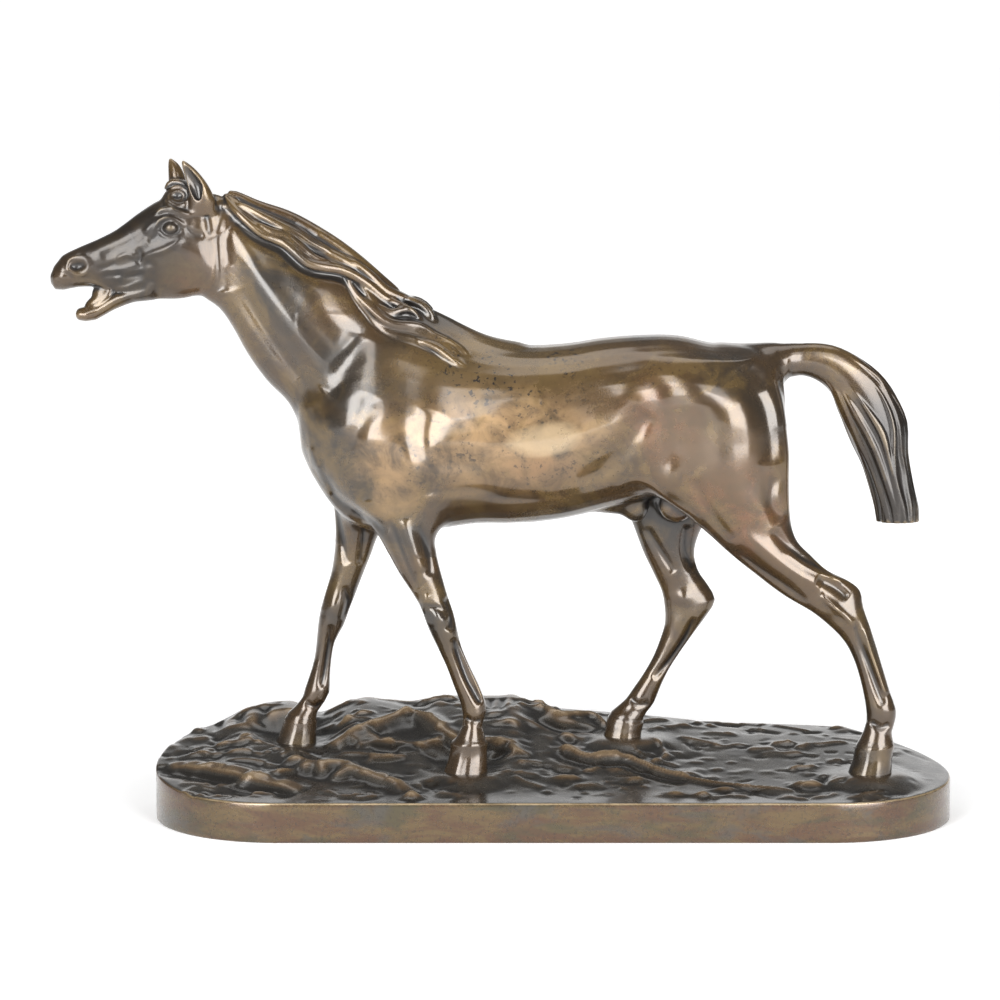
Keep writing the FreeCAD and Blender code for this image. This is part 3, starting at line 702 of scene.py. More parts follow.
TRUNK_MARKS = Sight(side_y=-27, plane_y=-14).bring((
    Mark("-56 196, -60 187, -65 180, -70 174", 5.0, -0.9, placed=True),
    Mark("-53 172, -56 162, -61 152, -68 146", 4.0, -0.7),
    Mark("-58 149, -55 139, -54 129", 3.0, -1.0),
    Mark("-28 166, -31 158, -31 150, -29.5 142, -28 132", 5.0, -1.2),
    Swell(-43, 151, 12, 17, 1.7, tilt=8),
    Swell(-34.5, 143, 5.5, 10, 1.7, tilt=-12, placed=True),
    Mark("-75 142, -70 134, -64 127, -54 121, -46 117", 2.6, -1.3),
    Mark("-77 150, -73.5 140, -69 130", 1.6, 0.8),
    Mark("-27 147, -18 146, -8 144", 5.0, -1.1),
    Mark("-24 134, -12 134.5, 2 131.5, 18 130.5", 2.4, -0.6),
    Swell(-57, 161, 14, 16, 1.8, tilt=-24, placed=True),
    Swell(12, 158, 34, 22, 0.9, edge=3),
    Mark("57 166, 53 160, 49 153, 44 146, 37 141, 29 138", 4.4, -1.7),
    Swell(51.5, 176, 10, 7, 1.5, tilt=12, placed=True),
    Mark("45 133.5, 50 137, 55 137.6, 60 135.2, 65 130.2, 70 126.8, 75 124.2, 79 118.6", 1.5, 0.6,
         side=Side.NEAR),
    Swell(66, 158, 8, 18, -1.3, tilt=-8),
    Swell(66, 138, 5.0, 8.5, 1.3, tilt=24),
    Swell(92, 150, 11, 23, 2.0, tilt=8, edge=3),
    Swell(80, 170, 15, 7, 1.0, tilt=28),
    Swell(74, 178, 15, 5, 0.9, tilt=14),
    Mark("94 182, 99.5 174, 103.5 166, 106 156, 106.6 145", 4.2, -1.4),
    Swell(109, 160, 4, 10, 0.5),
    Mark("108 140, 106.5 130, 111 121", 2.6, -0.8),
    Mark("76 139, 80 130, 86 121, 92 114", 2.4, -0.8),
    Swell(97, 127, 9, 10, 0.9, tilt=20),
    Mark("98 183, 102 179, 105 175", 3.0, -0.7),
    Mark("104 183.4, 110 183.8, 117 184.6", 3.0, 0.5),
))
NECK_MARKS = (
    Mark("-109 237, -101.5 221, -94 208, -86 195, -78 184, -70 173", 5.5, 1.2, step=True),
    Mark("-103 214, -96 202, -88 190, -80 179", 3.0, -0.6),
    Swell(-71, 208, 15, 28, 3.2, tilt=-42),
    Mark("-110.4 246, -112.2 238, -112.6 229, -111.4 220, -110 213", 3.4, -1.1),
    Mark("-106.6 243, -108.8 233, -108.2 223", 1.6, -0.35),
    Mark("-110 248, -98.4 242, -86.6 236.8, -75 230.6, -63 224, -51.2 214.8, -41.4 207.8", 6.0, 1.0),
    Mark("-111 249, -106.2 244, -98.4 237.2, -86.6 231.2, -76.8 223.2, -65 220.8, -59 217.4, -53.2 208.4,"
         " -45.4 199.6, -33.6 196.6, -21.8 190.2", 2.4, 1.2, step=True),
)
HEAD_MARKS = Sight(side_y=-8).bring((
    Swell(-128.6, 221.6, 12.6, 11.8, 1.7, edge=7),
    Mark("-116.4 235, -115.6 226, -117 216, -121.5 210.6", 1.0, 0.5),
    Mark("-144.8 225.3, -140.4 227.5, -136 228.8, -131.6 231, -128.4 233.6", 1.3, 1.1),
    Mark("-143.5 223.4, -139.8 222.4, -140.6 215", 1.6, -0.8),
    Mark("-155 225.2, -151 226.8, -147.4 226", 0.9, 0.8),
    Mark("-146 229.4, -145.2 226, -146.6 223.6", 0.9, -0.9),
    Mark("-163.5 220.6, -158.8 221.8, -155 223.6", 1.0, -0.7),
    Mark("-162 217.4, -156 218.8, -150.4 218, -144 219.4", 1.0, -0.8),
    Mark("-158 219.6, -151 221.2, -146 223", 1.1, 0.7),
    Mark("-156 216.2, -150 219.6, -143.4 220.8", 0.9, 0.7),
    Mark("-157 212.6, -151 213.6, -147 215.2, -143.4 216.2", 0.9, 0.9),
    Mark("-155 211, -149 211.8, -143 213.4", 1.2, -0.7),
    Mark("-165 228.4, -157 231, -149.6 234.2", 3.2, 0.6),
    Mark("-161 226, -154 229.4, -147 232.8, -142.6 236", 2.0, -0.7),
    Mark("-143.6 235.5, -140.4 239, -137.6 242", 1.1, 0.7),
    Mark("-142 232, -138.4 234.6, -137.4 238", 1.4, -0.8),
    Swell(-121.6, 239.0, 3.2, 3.6, 0.8),
    Mark("-127.4 238.2, -124 235, -120 234.4", 1.2, -0.8),
    Mark("-120 246, -118.4 240.4, -117.6 235", 1.1, -0.9),
    Swell(-176.6, 217.6, 4.2, 3.2, 0.6),
    Mark("-180 219.6, -176 219.0, -172 217.4", 0.8, -0.5),
    Mark("-157.5 205, -153 207.2, -148 208.8", 1.4, -0.5),
))
LEG_MARKS = (
    Mark("-45 125, -40 112, -36 102, -33 96", 1.8, -0.9, side=Side.NEAR),
    Mark("-33 122, -30 111, -28.5 101", 1.6, -0.8, side=Side.NEAR),
    Mark("-39 124, -35.5 112, -32.5 103", 2.4, 0.7, side=Side.NEAR),
    Mark("-29.8 94, -31.6 87, -29.2 80.5", 1.2, 0.6, side=Side.NEAR),
    Mark("-22.4 92, -20.6 85, -21.4 79.6", 1.4, -0.9, side=Side.NEAR),
    Mark("-29 89.4, -25 88, -22.6 84.6", 1.1, -0.6, side=Side.NEAR),
    Swell(-26, 84.5, 2.8, 3.6, 0.6, side=Side.NEAR),
    Mark("-20 76, -17.6 68, -14.4 59.6, -11 53, -9 49.4", 1.4, -1.2, side=Side.NEAR),
    Mark("-16.4 74, -13 64.6, -9.6 56, -7.4 50", 1.0, 0.7, side=Side.NEAR),
    Mark("-14.8 44, -11.6 42.4, -8.6 43", 1.2, -0.8, side=Side.NEAR),
    Mark("-68 126, -64.6 113, -62.4 101", 1.8, -0.9, side=Side.FAR),
    Mark("-55 122, -56.4 111, -58 101", 1.6, -0.8, side=Side.FAR),
    Mark("-64 92, -62.8 85, -64.4 78", 1.4, -0.9, side=Side.FAR),
    Swell(-68.4, 84, 3.0, 4.0, 0.6, side=Side.FAR),
    Mark("-69.6 76, -71 66, -72.4 57, -73.4 50", 1.3, -1.1, side=Side.FAR),
    Mark("-80 44, -76.4 42, -73.6 44", 1.2, -0.8, side=Side.FAR),
    Mark("94 119, 104 111, 115 103, 126 97", 3.0, 0.8, side=Side.NEAR),
    Mark("106 120, 113 112.4, 121 106, 131 101", 1.8, -0.8, side=Side.NEAR),
    Mark("112 111, 119 106, 128 101.4, 135 98.6", 1.0, 0.7, side=Side.NEAR),
    Mark("92 112, 102 104.4, 112 97.4, 121 90.6", 1.8, -0.8, side=Side.NEAR),
    Mark("124 100, 131 96.6, 136.6 92.4", 1.9, -1.1, side=Side.NEAR),
    Mark("126 93.5, 131.4 89, 136.4 84.6, 139.6 80.6", 1.3, 0.8, side=Side.NEAR),
    Swell(131, 88, 3.2, 3.0, 0.7, side=Side.NEAR),
    Mark("139 83, 141.8 74, 145.4 65, 148.6 56, 151.4 49", 1.4, -1.1, side=Side.NEAR),
    Mark("143.4 80, 146.4 70, 149.6 61, 152.6 53", 1.0, 0.7, side=Side.NEAR),
    Mark("146.6 42, 150.4 40, 154 41.4", 1.3, -0.8, side=Side.NEAR),
    Mark("58 116, 64 106, 69.4 97.6", 1.8, -0.9, side=Side.FAR),
    Mark("74 117, 73.6 107, 76.4 98.4", 1.6, -0.9, side=Side.FAR),
    Swell(73, 87, 3.4, 3.4, 0.7, side=Side.FAR),
    Mark("77.4 79, 73.4 70, 67.6 61.4, 61.4 53.6", 1.4, -1.1, side=Side.FAR),
    Mark("52 45, 55.4 43, 59.4 43.8", 1.3, -0.8, side=Side.FAR),
)
HOOF_FACETS = tuple(
    Mark(f"{top} {high}, {foot} {low}", 1.6, -0.3, side=side)
    for side, high, low, tops, spread in (
        (Side.NEAR, 35.0, 19.6, (-16.6, -13.6, -10.4), 0.62),
        (Side.NEAR, 33.0, 19.2, (145.0, 148.6, 152.2), 0.5),
        (Side.FAR, 37.0, 25.2, (-84.4, -81.4, -78.4), 0.62),
        (Side.FAR, 37.0, 27.8, (47.6, 50.8, 54.0), 0.5))
    for top, foot in ((t, t - spread * (high - low) * (0.55 - 0.2 * n)) for n, t in enumerate(tops))
)


def deeper(marks: tuple, share: float) -> tuple:
    """The same marks, pressed deeper by a share."""
    return tuple(replace(mark, height=mark.height * share) for mark in marks)


MARKS = (deeper(TRUNK_MARKS, 1.25) + deeper(NECK_MARKS, 1.2) + deeper(HEAD_MARKS, 0.65)
         + deeper(LEG_MARKS, 1.35) + HOOF_FACETS)


# ------------------------------------------------------------------------------ laid-on details
@dataclass(frozen=True)
class Laid:
    """A strand of clay laid along the horse's side: its path in X and Z, thickness and lift."""

    path: str
    radius: float
    lift: float = 0.0
    side: Side = Side.BOTH
    blend: float = 0.5
    thin_ends: float = 0.35
    placed: bool = False

    def on(self, clay: Clay) -> None:
        """Lay the strand on the clay, once for each side that it belongs to."""
        for side in (-1, 1):
            if self.side.value in (side, 0):
                line = fair_curve(path_points(self.path), 2.0)
                y = clay.side_y(line, side)
                y = np.convolve(np.pad(y, 2, mode="edge"), np.ones(5) / 5, mode="valid") + side * self.lift
                t = np.linspace(0, 1, len(line))
                radius = self.radius * (self.thin_ends + (1 - self.thin_ends) * np.sin(math.pi * t) ** 0.5)
                path = np.stack([line[:, 0], y, line[:, 1]], axis=1).astype(np.float32)
                clay.add(Strand(path, radius.astype(np.float32)), self.blend)


def fuller(locks: tuple, broader: float = 1.5, sunk: float = 0.62) -> tuple:
    """The same locks, broader, and sunk deeper into the clay by a share of their radius."""
    return tuple(replace(lock, radius=round(lock.radius * broader, 2),
                         lift=round(lock.lift - lock.radius * sunk, 2)) for lock in locks)


MANE = fuller(Sight(side_y=-14).bring((
    Laid("-110 250, -100 244.6, -88 240, -78 235, -69 229.6, -60 223.4, -50 215.4, -42 209.8", 2.4, -1.0),
    Laid("-112 249, -104 243.4, -95 238.6, -86 235, -79 231, -72 226.8, -66 224, -58 219.4, -50 212.8,"
         " -43 207.4", 2.1, -0.7),
    Laid("-106 246.4, -98 242, -90 238, -83 234.6, -77 230.6, -70 227.6", 1.3, 0.3),
    Laid("-99 238.6, -93 235.6, -87 233.6, -82 229.6, -76 225.2, -70 223.4", 1.4, 0.1),
    Laid("-62 224.4, -54 217.6, -48 211.6, -41 208, -35 205.2, -30 201, -27 198", 1.8, -0.4),
    Laid("-40 208.4, -34 206.6, -30 203.6, -27.4 199.6", 1.2, 0.5),
    Laid("-64 217.6, -60 209.4, -55 203.4, -50 198.6, -45 194.6, -37 192.4, -30 190.2, -24 188, -18 184.2,"
         " -14 181", 1.7, -0.3, side=Side.NEAR),
    Laid("-58 209.4, -52 204.4, -46 201.6, -41 203, -36 202.6, -33 201.2", 1.3, 0.0, side=Side.NEAR),
    Laid("-50 206.4, -45 203.4, -40 204.4, -35 203.6", 1.1, 0.4, side=Side.NEAR),
    Laid("-46 197.4, -40 197, -34 195.6, -28 192.6, -22 189.6, -17 186", 1.4, 0.0, side=Side.NEAR),
    Laid("-34 192.6, -27 190, -21 185.8, -16 182.6", 1.2, 0.3, side=Side.NEAR),
    Laid("-112 248.8, -108 244, -100 237, -96 234.2, -88 231, -84 228, -78 223.2, -72 221.6, -66 220.6,"
         " -60 218, -54 214, -48 209, -42 206.4, -37 204.2, -33.4 200.6", 1.35, 0.5),
    Laid("-62.6 217, -59 211, -54 206, -48 201, -43 199, -34 198, -28 194.6, -22 192, -17 189,"
         " -13.6 186.4", 1.35, 0.5),
    Laid("-60 212, -52 203, -44 196.4, -36 193.6, -28 190", 1.3, 0.2, side=Side.FAR),
)))
FACE = Sight(side_y=-8).bring((
    Laid("-139.8 242.2, -136.6 244.6, -132.6 244.5, -128.6 243.2, -125.2 242.6, -122.6 243.6", 1.5, -0.3),
    Laid("-139.6 236.8, -137.6 240.4, -134.2 241.6, -130.6 240.4, -127.6 238.4", 0.9, 0.0, blend=0.9),
    Laid("-138 236.4, -135.6 234.4, -132.4 233.8, -129.4 234.8", 0.7, -0.1, blend=0.9),
    Laid("-174.6 221.0, -174.2 224.4, -170.8 225.8, -167.2 225, -165.8 222.4, -167.4 219.4, -171 218.6,"
         " -174.6 221.0", 0.8, -0.45, blend=1.1, thin_ends=1.0),
    Laid("-172.6 215.6, -168 216.2, -164 215.4, -160 213.8, -157.6 212.2", 0.8, -0.1, blend=0.8),
    Laid("-157.8 212.2, -159 209.8, -162.2 207.2, -165.4 205.4, -169.8 204.8", 0.8, -0.1, blend=0.8),
    Laid("-136 252.6, -133 255, -128.6 254.4, -125.8 251.4", 1.5, -0.4),
    Laid("-134.6 251.4, -133 253, -129.6 253.4, -126.6 251.6, -126 249", 0.9, 0.6),
    Laid("-134.4 251, -133.6 248, -130.8 246.4, -127.6 247, -126 249.4", 0.9, 0.5),
    Laid("-135.8 249.4, -134.2 246.4, -131 244.9", 0.8, 0.5),
    Laid("-128 245.6, -125 247.6, -123.4 251, -124 254", 1.0, 0.2),
    Laid("-124 244.4, -121.4 247, -120.6 250.4", 1.0, 0.2),
))


@dataclass(frozen=True)
class Ear:
    """An upright ear, hollowed towards the front and outside."""

    side: int
    front: tuple
    back: tuple
    y: tuple
    heights: tuple = (243.0, 249.0, 254.5, 259.5, 262.8, 264.6)
    widths: tuple = (3.2, 4.0, 4.1, 3.2, 1.7, 0.5)
    wall: float = 0.68
    hollow_shift: float = 2.7

    def rings(self, scale: float, shift: float) -> list[Ring]:
        """The ear's cross-sections, narrowed and moved outwards."""
        made = []
        for z, a, b, w, y in zip(self.heights, self.back, self.front, self.widths, self.y):
            share = scale * (min(1.0, 0.3 + (z - self.heights[1]) / 7) if shift else 1.0)
            middle, half = (a + b) / 2, (a - b) / 2 * share
            made.append(Ring(middle + half - shift * 0.35, z, middle - half - shift * 0.35, z, w * share,
                             self.side * (y + shift)))
        return made

    def on(self, clay: Clay) -> None:
        """Add the ear and hollow it out."""
        clay.add(Loft(self.rings(1.0, 0.0), 1.5), 1.2)
        clay.carve(Loft(self.rings(self.wall, self.hollow_shift)[1:], 1.5), 0.5)


EARS = (
    Ear(-1, front=(-125.6, -123.8, -124.2, -125.6, -126.4, -126.4),
        back=(-113.4, -113.6, -115.9, -119.5, -122.9, -125.6),
        y=(5.4, 6.0, 6.6, 7.1, 7.4, 7.5)),
    Ear(1, front=(-132.6, -132.8, -132.8, -132.9, -132.9, -132.6),
        back=(-122.6, -123.6, -125.3, -127.0, -129.2, -131.6),
        y=(5.4, 6.0, 6.6, 7.1, 7.4, 7.5)),
)


@dataclass(frozen=True)
class TailHair:
    """The locks of the tail, laid round it from the dock to the cut end."""

    count: int = 22
    proud: float = 0.85
    start: float = 0.20
    cut_height: float = 119.9

    def on(self, clay: Clay, tail: Loft) -> None:
        """Lay the locks on the tail and cut them level below.

        Args:
            clay: the clay that the tail is in.
            tail: the tail's own loft, whose cross-sections the locks follow.
        """
        chance = np.random.default_rng(11)
        rows = tail.rows
        t = np.linspace(0, 1, len(rows))
        for number in range(self.count):
            size = chance.uniform(0.9, 2.3)
            begin = self.start + chance.uniform(0, 0.22)
            angle = 2 * math.pi * (number + chance.uniform(-0.25, 0.25)) / self.count
            angle = angle + 0.24 * np.sin(2 * math.pi * (t * chance.uniform(0.8, 1.5) + chance.uniform(0, 1)))
            along = rows[:, 2:4] - rows[:, 0:2]
            half = np.linalg.norm(along, axis=1)
            inset = 1 - (size - self.proud) / np.maximum(half * 0.8, 1)
            middle = rows[:, 0:2] + along * (np.cos(angle) * inset)[:, None]
            y = rows[:, 6] * np.sin(angle) * inset
            path = np.stack([middle[:, 0], y, middle[:, 1]], axis=1).astype(np.float32)
            radius = size * smooth((t - begin) / 0.25) + 0.05
            keep = t > begin
            clay.add(Strand(path[keep], radius[keep].astype(np.float32)), 0.35)
        z = clay.coordinates(tuple(slice(0, n) for n in clay.field.shape))[2]
        clay.field = np.maximum(clay.field, self.cut_height - z)


# ------------------------------------------------------------------------------ meshes
def quiet() -> None:
    """Leave edit mode and let go of everything that is selected."""
    if bpy.context.object and bpy.context.object.mode != "OBJECT":
        bpy.ops.object.mode_set(mode="OBJECT")
    bpy.ops.object.select_all(action="DESELECT")


def take(piece: bpy.types.Object) -> bpy.types.Object:
    """Select one piece alone and make it the one that is worked on."""
    quiet()
    piece.select_set(True)
    bpy.context.view_layer.objects.active = piece
    return piece


def new_piece(name: str, points: np.ndarray, faces: np.ndarray) -> bpy.types.Object:
    """Make a piece from points in millimetres and quads.

    Args:
        name: the piece's name.
        points: rows of x, y, z.
        faces: rows of four point numbers.

    Returns:
        The piece, linked into the scene and taken in hand.
    """
    mesh = bpy.data.meshes.new(name)
    mesh.vertices.add(len(points))
    mesh.vertices.foreach_set("co", (points * MM).astype(np.float32).ravel())
    mesh.loops.add(faces.size)
    mesh.loops.foreach_set("vertex_index", faces.astype(np.int32).ravel())
    mesh.polygons.add(len(faces))
    mesh.polygons.foreach_set("loop_start", np.arange(0, faces.size, faces.shape[1], dtype=np.int32))
    mesh.update(calc_edges=True)
    mesh.validate()
    piece = bpy.data.objects.new(name, mesh)
    bpy.context.scene.collection.objects.link(piece)
    return take(piece)


def places(mesh: bpy.types.Mesh) -> np.ndarray:
    """The mesh's points in millimetres."""
    flat = np.empty(len(mesh.vertices) * 3, np.float32)
    mesh.vertices.foreach_get("co", flat)
    return flat.reshape(-1, 3) / MM


def store(mesh: bpy.types.Mesh, name: str, values: np.ndarray) -> None:
    """Keep one number for each of the mesh's points under a name."""
    layer = mesh.attributes.new(name, "FLOAT", "POINT")
    layer.data.foreach_set("value", values.astype(np.float32))


@dataclass(frozen=True)
class Joint:
    """A flat joint between two castings: edge points of its cross-section, its limb's side and a margin."""

    ax: float
    az: float
    bx: float
    bz: float
    low_y: float
    high_y: float
    reach: float = 3.0

    def centre(self) -> np.ndarray:
        """The middle of the joint."""
        return np.array([(self.ax + self.bx) / 2, (self.low_y + self.high_y) / 2, (self.az + self.bz) / 2])

    def across(self) -> np.ndarray:
        """The unit direction through the joint, square to its face."""
        d = np.array([self.bx - self.ax, 0.0, self.bz - self.az])
        n = np.array([-d[2], 0.0, d[0]])
        return n / np.linalg.norm(n)


NECK_JOINT = Joint(-50, 217, -85.5, 168, -30, 30, 14.0)
NEAR_FORE_JOINT = Joint(-46.5, 111.5, -26, 108, -30, 0)
FAR_FORE_JOINT = Joint(-67.8, 109, -53, 105, 0, 30)
NEAR_HIND_JOINT = Joint(90, 109.5, 121.6, 109.3, -30, 0)
FAR_HIND_JOINT = Joint(56.3, 106.5, 77.8, 106.8, 0, 30)
TAIL_JOINT = Joint(112, 190.4, 112.2, 178.6, -12, 12)


@dataclass
class Casting:
    """One casting of the horse, cut from a block of clay at its joints."""

    node: str
    seed: tuple[float, float, float]
    joints: tuple[Joint, ...]
    most_triangles: int = 196000

    def cut(self, clay: Clay, skin: tuple[np.ndarray, np.ndarray]) -> bpy.types.Object:
        """Cut the casting out.

        Args:
            clay: the block that it is in.
            skin: the block's surface.

        Returns:
            The closed piece.
        """
        piece = new_piece(self.node + "_bronze", *skin)
        mesh = piece.data
        for joint in self.joints:
            self._saw(mesh, joint)
        points = places(mesh)
        start = int(np.argmin(np.linalg.norm(points - np.array(self.seed), axis=1)))
        bpy.ops.object.mode_set(mode="EDIT")
        bpy.ops.mesh.select_mode(type="VERT")
        bpy.ops.mesh.select_all(action="DESELECT")
        bpy.ops.object.mode_set(mode="OBJECT")
        mesh.vertices[start].select = True
        bpy.ops.object.mode_set(mode="EDIT")
        bpy.ops.mesh.select_linked()
        bpy.ops.mesh.select_all(action="INVERT")
        bpy.ops.mesh.delete(type="VERT")
        bpy.ops.mesh.select_all(action="DESELECT")
        bpy.ops.mesh.select_non_manifold()
        bpy.ops.mesh.fill_holes(sides=0)
        bpy.ops.mesh.select_all(action="SELECT")
        bpy.ops.mesh.quads_convert_to_tris()
        bpy.ops.object.mode_set(mode="OBJECT")
        share = self.most_triangles / max(1, len(mesh.polygons))
        if share < 1:
            bpy.ops.object.modifier_add(type="DECIMATE")
            piece.modifiers[-1].ratio = share
            bpy.ops.object.modifier_apply(modifier=piece.modifiers[-1].name)
        return piece

    @staticmethod
    def _saw(mesh: bpy.types.Mesh, joint: Joint) -> None:
        """Cut the skin along a joint and open it there."""
        points = places(mesh)
        centre, across = joint.centre(), joint.across()
        half = math.hypot(joint.bx - joint.ax, joint.bz - joint.az) / 2
        along = np.array([joint.bx - joint.ax, 0, joint.bz - joint.az]) / (2 * half)
        offset = points - centre
        close = ((np.abs(offset @ across) < 5) & (np.abs(offset @ along) < half + joint.reach)
                 & (points[:, 1] > joint.low_y) & (points[:, 1] < joint.high_y))
        bpy.ops.object.mode_set(mode="EDIT")
        bpy.ops.mesh.select_mode(type="VERT")
        bpy.ops.mesh.select_all(action="DESELECT")
        bpy.ops.object.mode_set(mode="OBJECT")
        mesh.vertices.foreach_set("select", close)
        bpy.ops.object.mode_set(mode="EDIT")
        bpy.ops.mesh.select_mode(type="FACE")
        bpy.ops.mesh.bisect(plane_co=centre * MM, plane_no=across, use_fill=False, threshold=1e-6)
        bpy.ops.mesh.edge_split(type="EDGE")
        bpy.ops.object.mode_set(mode="OBJECT")


def finish_surface(piece: bpy.types.Object, clay: Clay) -> None:
    """Smooth the piece's shading from the clay and note where it is hollow, worn or sheltered."""
    mesh = piece.data
    points = places(mesh)
    normals = clay.normals(points, 1.5)
    mesh.polygons.foreach_set("use_smooth", np.ones(len(mesh.polygons), bool))
    corners = np.empty(len(mesh.loops), np.int32)
    mesh.loops.foreach_get("vertex_index", corners)
    custom = normals[corners]
    flat = np.empty(len(mesh.polygons) * 3, np.float32)
    mesh.polygons.foreach_get("normal", flat)
    starts = np.empty(len(mesh.polygons), np.int32)
    counts = np.empty(len(mesh.polygons), np.int32)
    mesh.polygons.foreach_get("loop_start", starts)
    mesh.polygons.foreach_get("loop_total", counts)
    own = np.repeat(flat.reshape(-1, 3), counts, axis=0)
    turned = np.einsum("ij,ij->i", own, custom) < 0.2
    custom[turned] = own[turned]
    mesh.normals_split_custom_set(custom)
    edge = np.zeros(len(points), np.float32)
    for reach, share in ((1.2, 0.5), (2.4, 0.35)):
        around = sum(clay.sample(points + shift * reach) for shift in SPREAD) / len(SPREAD)
        edge += share * around / reach
    shelter = np.zeros(len(points), np.float32)
    for reach in (2.0, 4.0, 7.0):
        shelter += np.clip(1 - clay.sample(points + normals * reach) / reach, 0, 1) / 3
    store(mesh, "edge", edge)
    store(mesh, "shelter", shelter)


SPREAD = np.array([(x, y, z) for x in (-1, 0, 1) for y in (-1, 0, 1) for z in (-1, 0, 1)
                   if (x, y, z) != (0, 0, 0)], np.float32)
SPREAD /= np.linalg.norm(SPREAD, axis=1, keepdims=True)


# ------------------------------------------------------------------------------ plinth
@dataclass(frozen=True)
class HoofPlace:
    """Where a hoof stands: its middle and the height of its sole."""

    x: float
    y: float
    sole: float


HOOF_PLACES = (HoofPlace(-14.5, -16.5, 21.0), HoofPlace(-84.2, 16.5, 26.5),
               HoofPlace(147.0, -16.5, 20.5), HoofPlace(49.2, 16.5, 29.0))
# How much higher the ground stands along the back rim than along the front: x, rise.
BACK_RISE = path_points("-142 10.5, -130 12.5, -118 14, -107 19.5, -95 21, -87 21.4, -76 16, -64 21,"
                        " -57 23, -38 21,"
                        " -26 23.4, 0 23.4, 5 24.4, 11 20, 24 18, 42 16.6, 61 15, 86 12.4, 124 11, 142 10.4,"
                        " 161 6.4, 182 2.4")
GROUND_MARKS = (
    Mark("-134 -2, -131.8 -7, -122.8 -11, -109.6 -19, -98.5 -26, -87.8 -32, -80 -37", 4.5, 2.6, step=True),
    Mark("-134 -2, -131.8 -7, -122.8 -11, -109.6 -19, -98.5 -26, -87.8 -32, -80 -37", 1.6, 1.2),
    Swell(-110, -34, 15, 6, -2.6, tilt=-20),
    Mark("-86 -6, -76 -12, -66 -16, -58 -21, -50 -27, -42 -33, -36 -41", 3.6, 3.4),
    Mark("-66 -13, -57 -19, -48 -25, -41 -31, -34 -39", 1.2, 0.8),
    Swell(-36, -44.5, 3.4, 2.6, 3.4),
    Swell(-79, -15, 4, 3, 2.2), Swell(-72, -19, 3.4, 3, 2.6), Swell(-65, -23, 3.6, 2.8, 2.4),
    Swell(-84, -10, 3.4, 2.4, 1.6), Swell(-90, -20, 9, 3, 1.4, tilt=-25),
    Mark("-118 18, -104 24, -92 27", 5.0, -1.6),
    Mark("-116 30, -117 41", 2.0, -1.4), Mark("-108 29, -108 42", 2.2, -1.6),
    Mark("-99 29, -98 43", 2.4, -1.4),
    Mark("-124 8, -117 3, -104 1, -96 -4", 1.6, 0.9), Mark("-128 14, -116 12, -104 10", 1.6, 0.8),
    Mark("-112 -6, -100 -8, -90 -14", 1.6, 0.9),
    Mark("-70 4, -64.8 8, -52 15, -44 22, -38 25, -31.7 22, -25 13, -19 5", 5.0, 3.6),
    Mark("-64 9, -52 15.6, -44 22.4, -38 25.6, -31.7 22.6, -25 13.6", 1.3, 1.0),
    Swell(-40, 27, 3.4, 2.6, 2.4),
    Mark("-60 1, -48 5, -38 5, -30 0", 1.6, 0.9), Mark("-66 -2, -54 -5, -44 -6", 1.4, 0.8),
    Mark("-68 22, -60 28, -52 30", 2.0, 1.4), Mark("-74 14, -66 18, -58 20", 1.6, 1.0),
    Mark("-10 33, -9 46", 1.3, -1.2), Mark("-5.5 32, -4.6 46", 1.3, -1.2), Mark("-0.6 32, 0.2 46", 1.3, -1.2),
    Mark("4.2 33, 5.2 45", 1.3, -1.1), Mark("-16 33, -14.6 45", 1.5, -1.1),
    Swell(22, 36, 12, 6, 2.6), Mark("13 42, 17 38, 23 32, 30 35, 37 39, 41.4 33, 43 28", 1.8, 2.4),
    Mark("15 30, 24 26, 33 28, 41 26", 3.2, 1.8, step=True),
    Swell(12, 24, 6, 3, 1.6, tilt=20), Swell(2, 20, 5, 2.6, 1.2),
    Mark("20 6, 25.6 3, 33.9 -3, 42 -4, 51.6 -5.4, 60.9 -13, 71 -19.6, 87.5 -27, 105.9 -31.4, 116 -34",
         1.5, 1.7),
    Mark("22 3, 34 -5, 51.6 -8, 62 -15, 74 -22", 3.6, 1.5, step=True),
    Mark("55.5 14.5, 62 12.6, 65.4 5, 65.4 -3", 1.3, 1.1),
    Swell(121, -27.4, 6.2, 2.8, 2.6, edge=4), Swell(126, -32, 9, 3.6, -0.9),
    Swell(25, -23, 6, 3, 2.0), Swell(31, -30, 5, 2.4, 1.8), Swell(68, -40, 4.6, 2.4, 2.0),
    Swell(79, -40.5, 4, 2.2, 2.2),
    Swell(88, -33, 5, 2, 1.6), Swell(52, -22, 5.4, 2.4, 1.4), Swell(10, -20, 5, 2.2, 1.0),
    Swell(44, -12, 5, 3, 1.2),
)


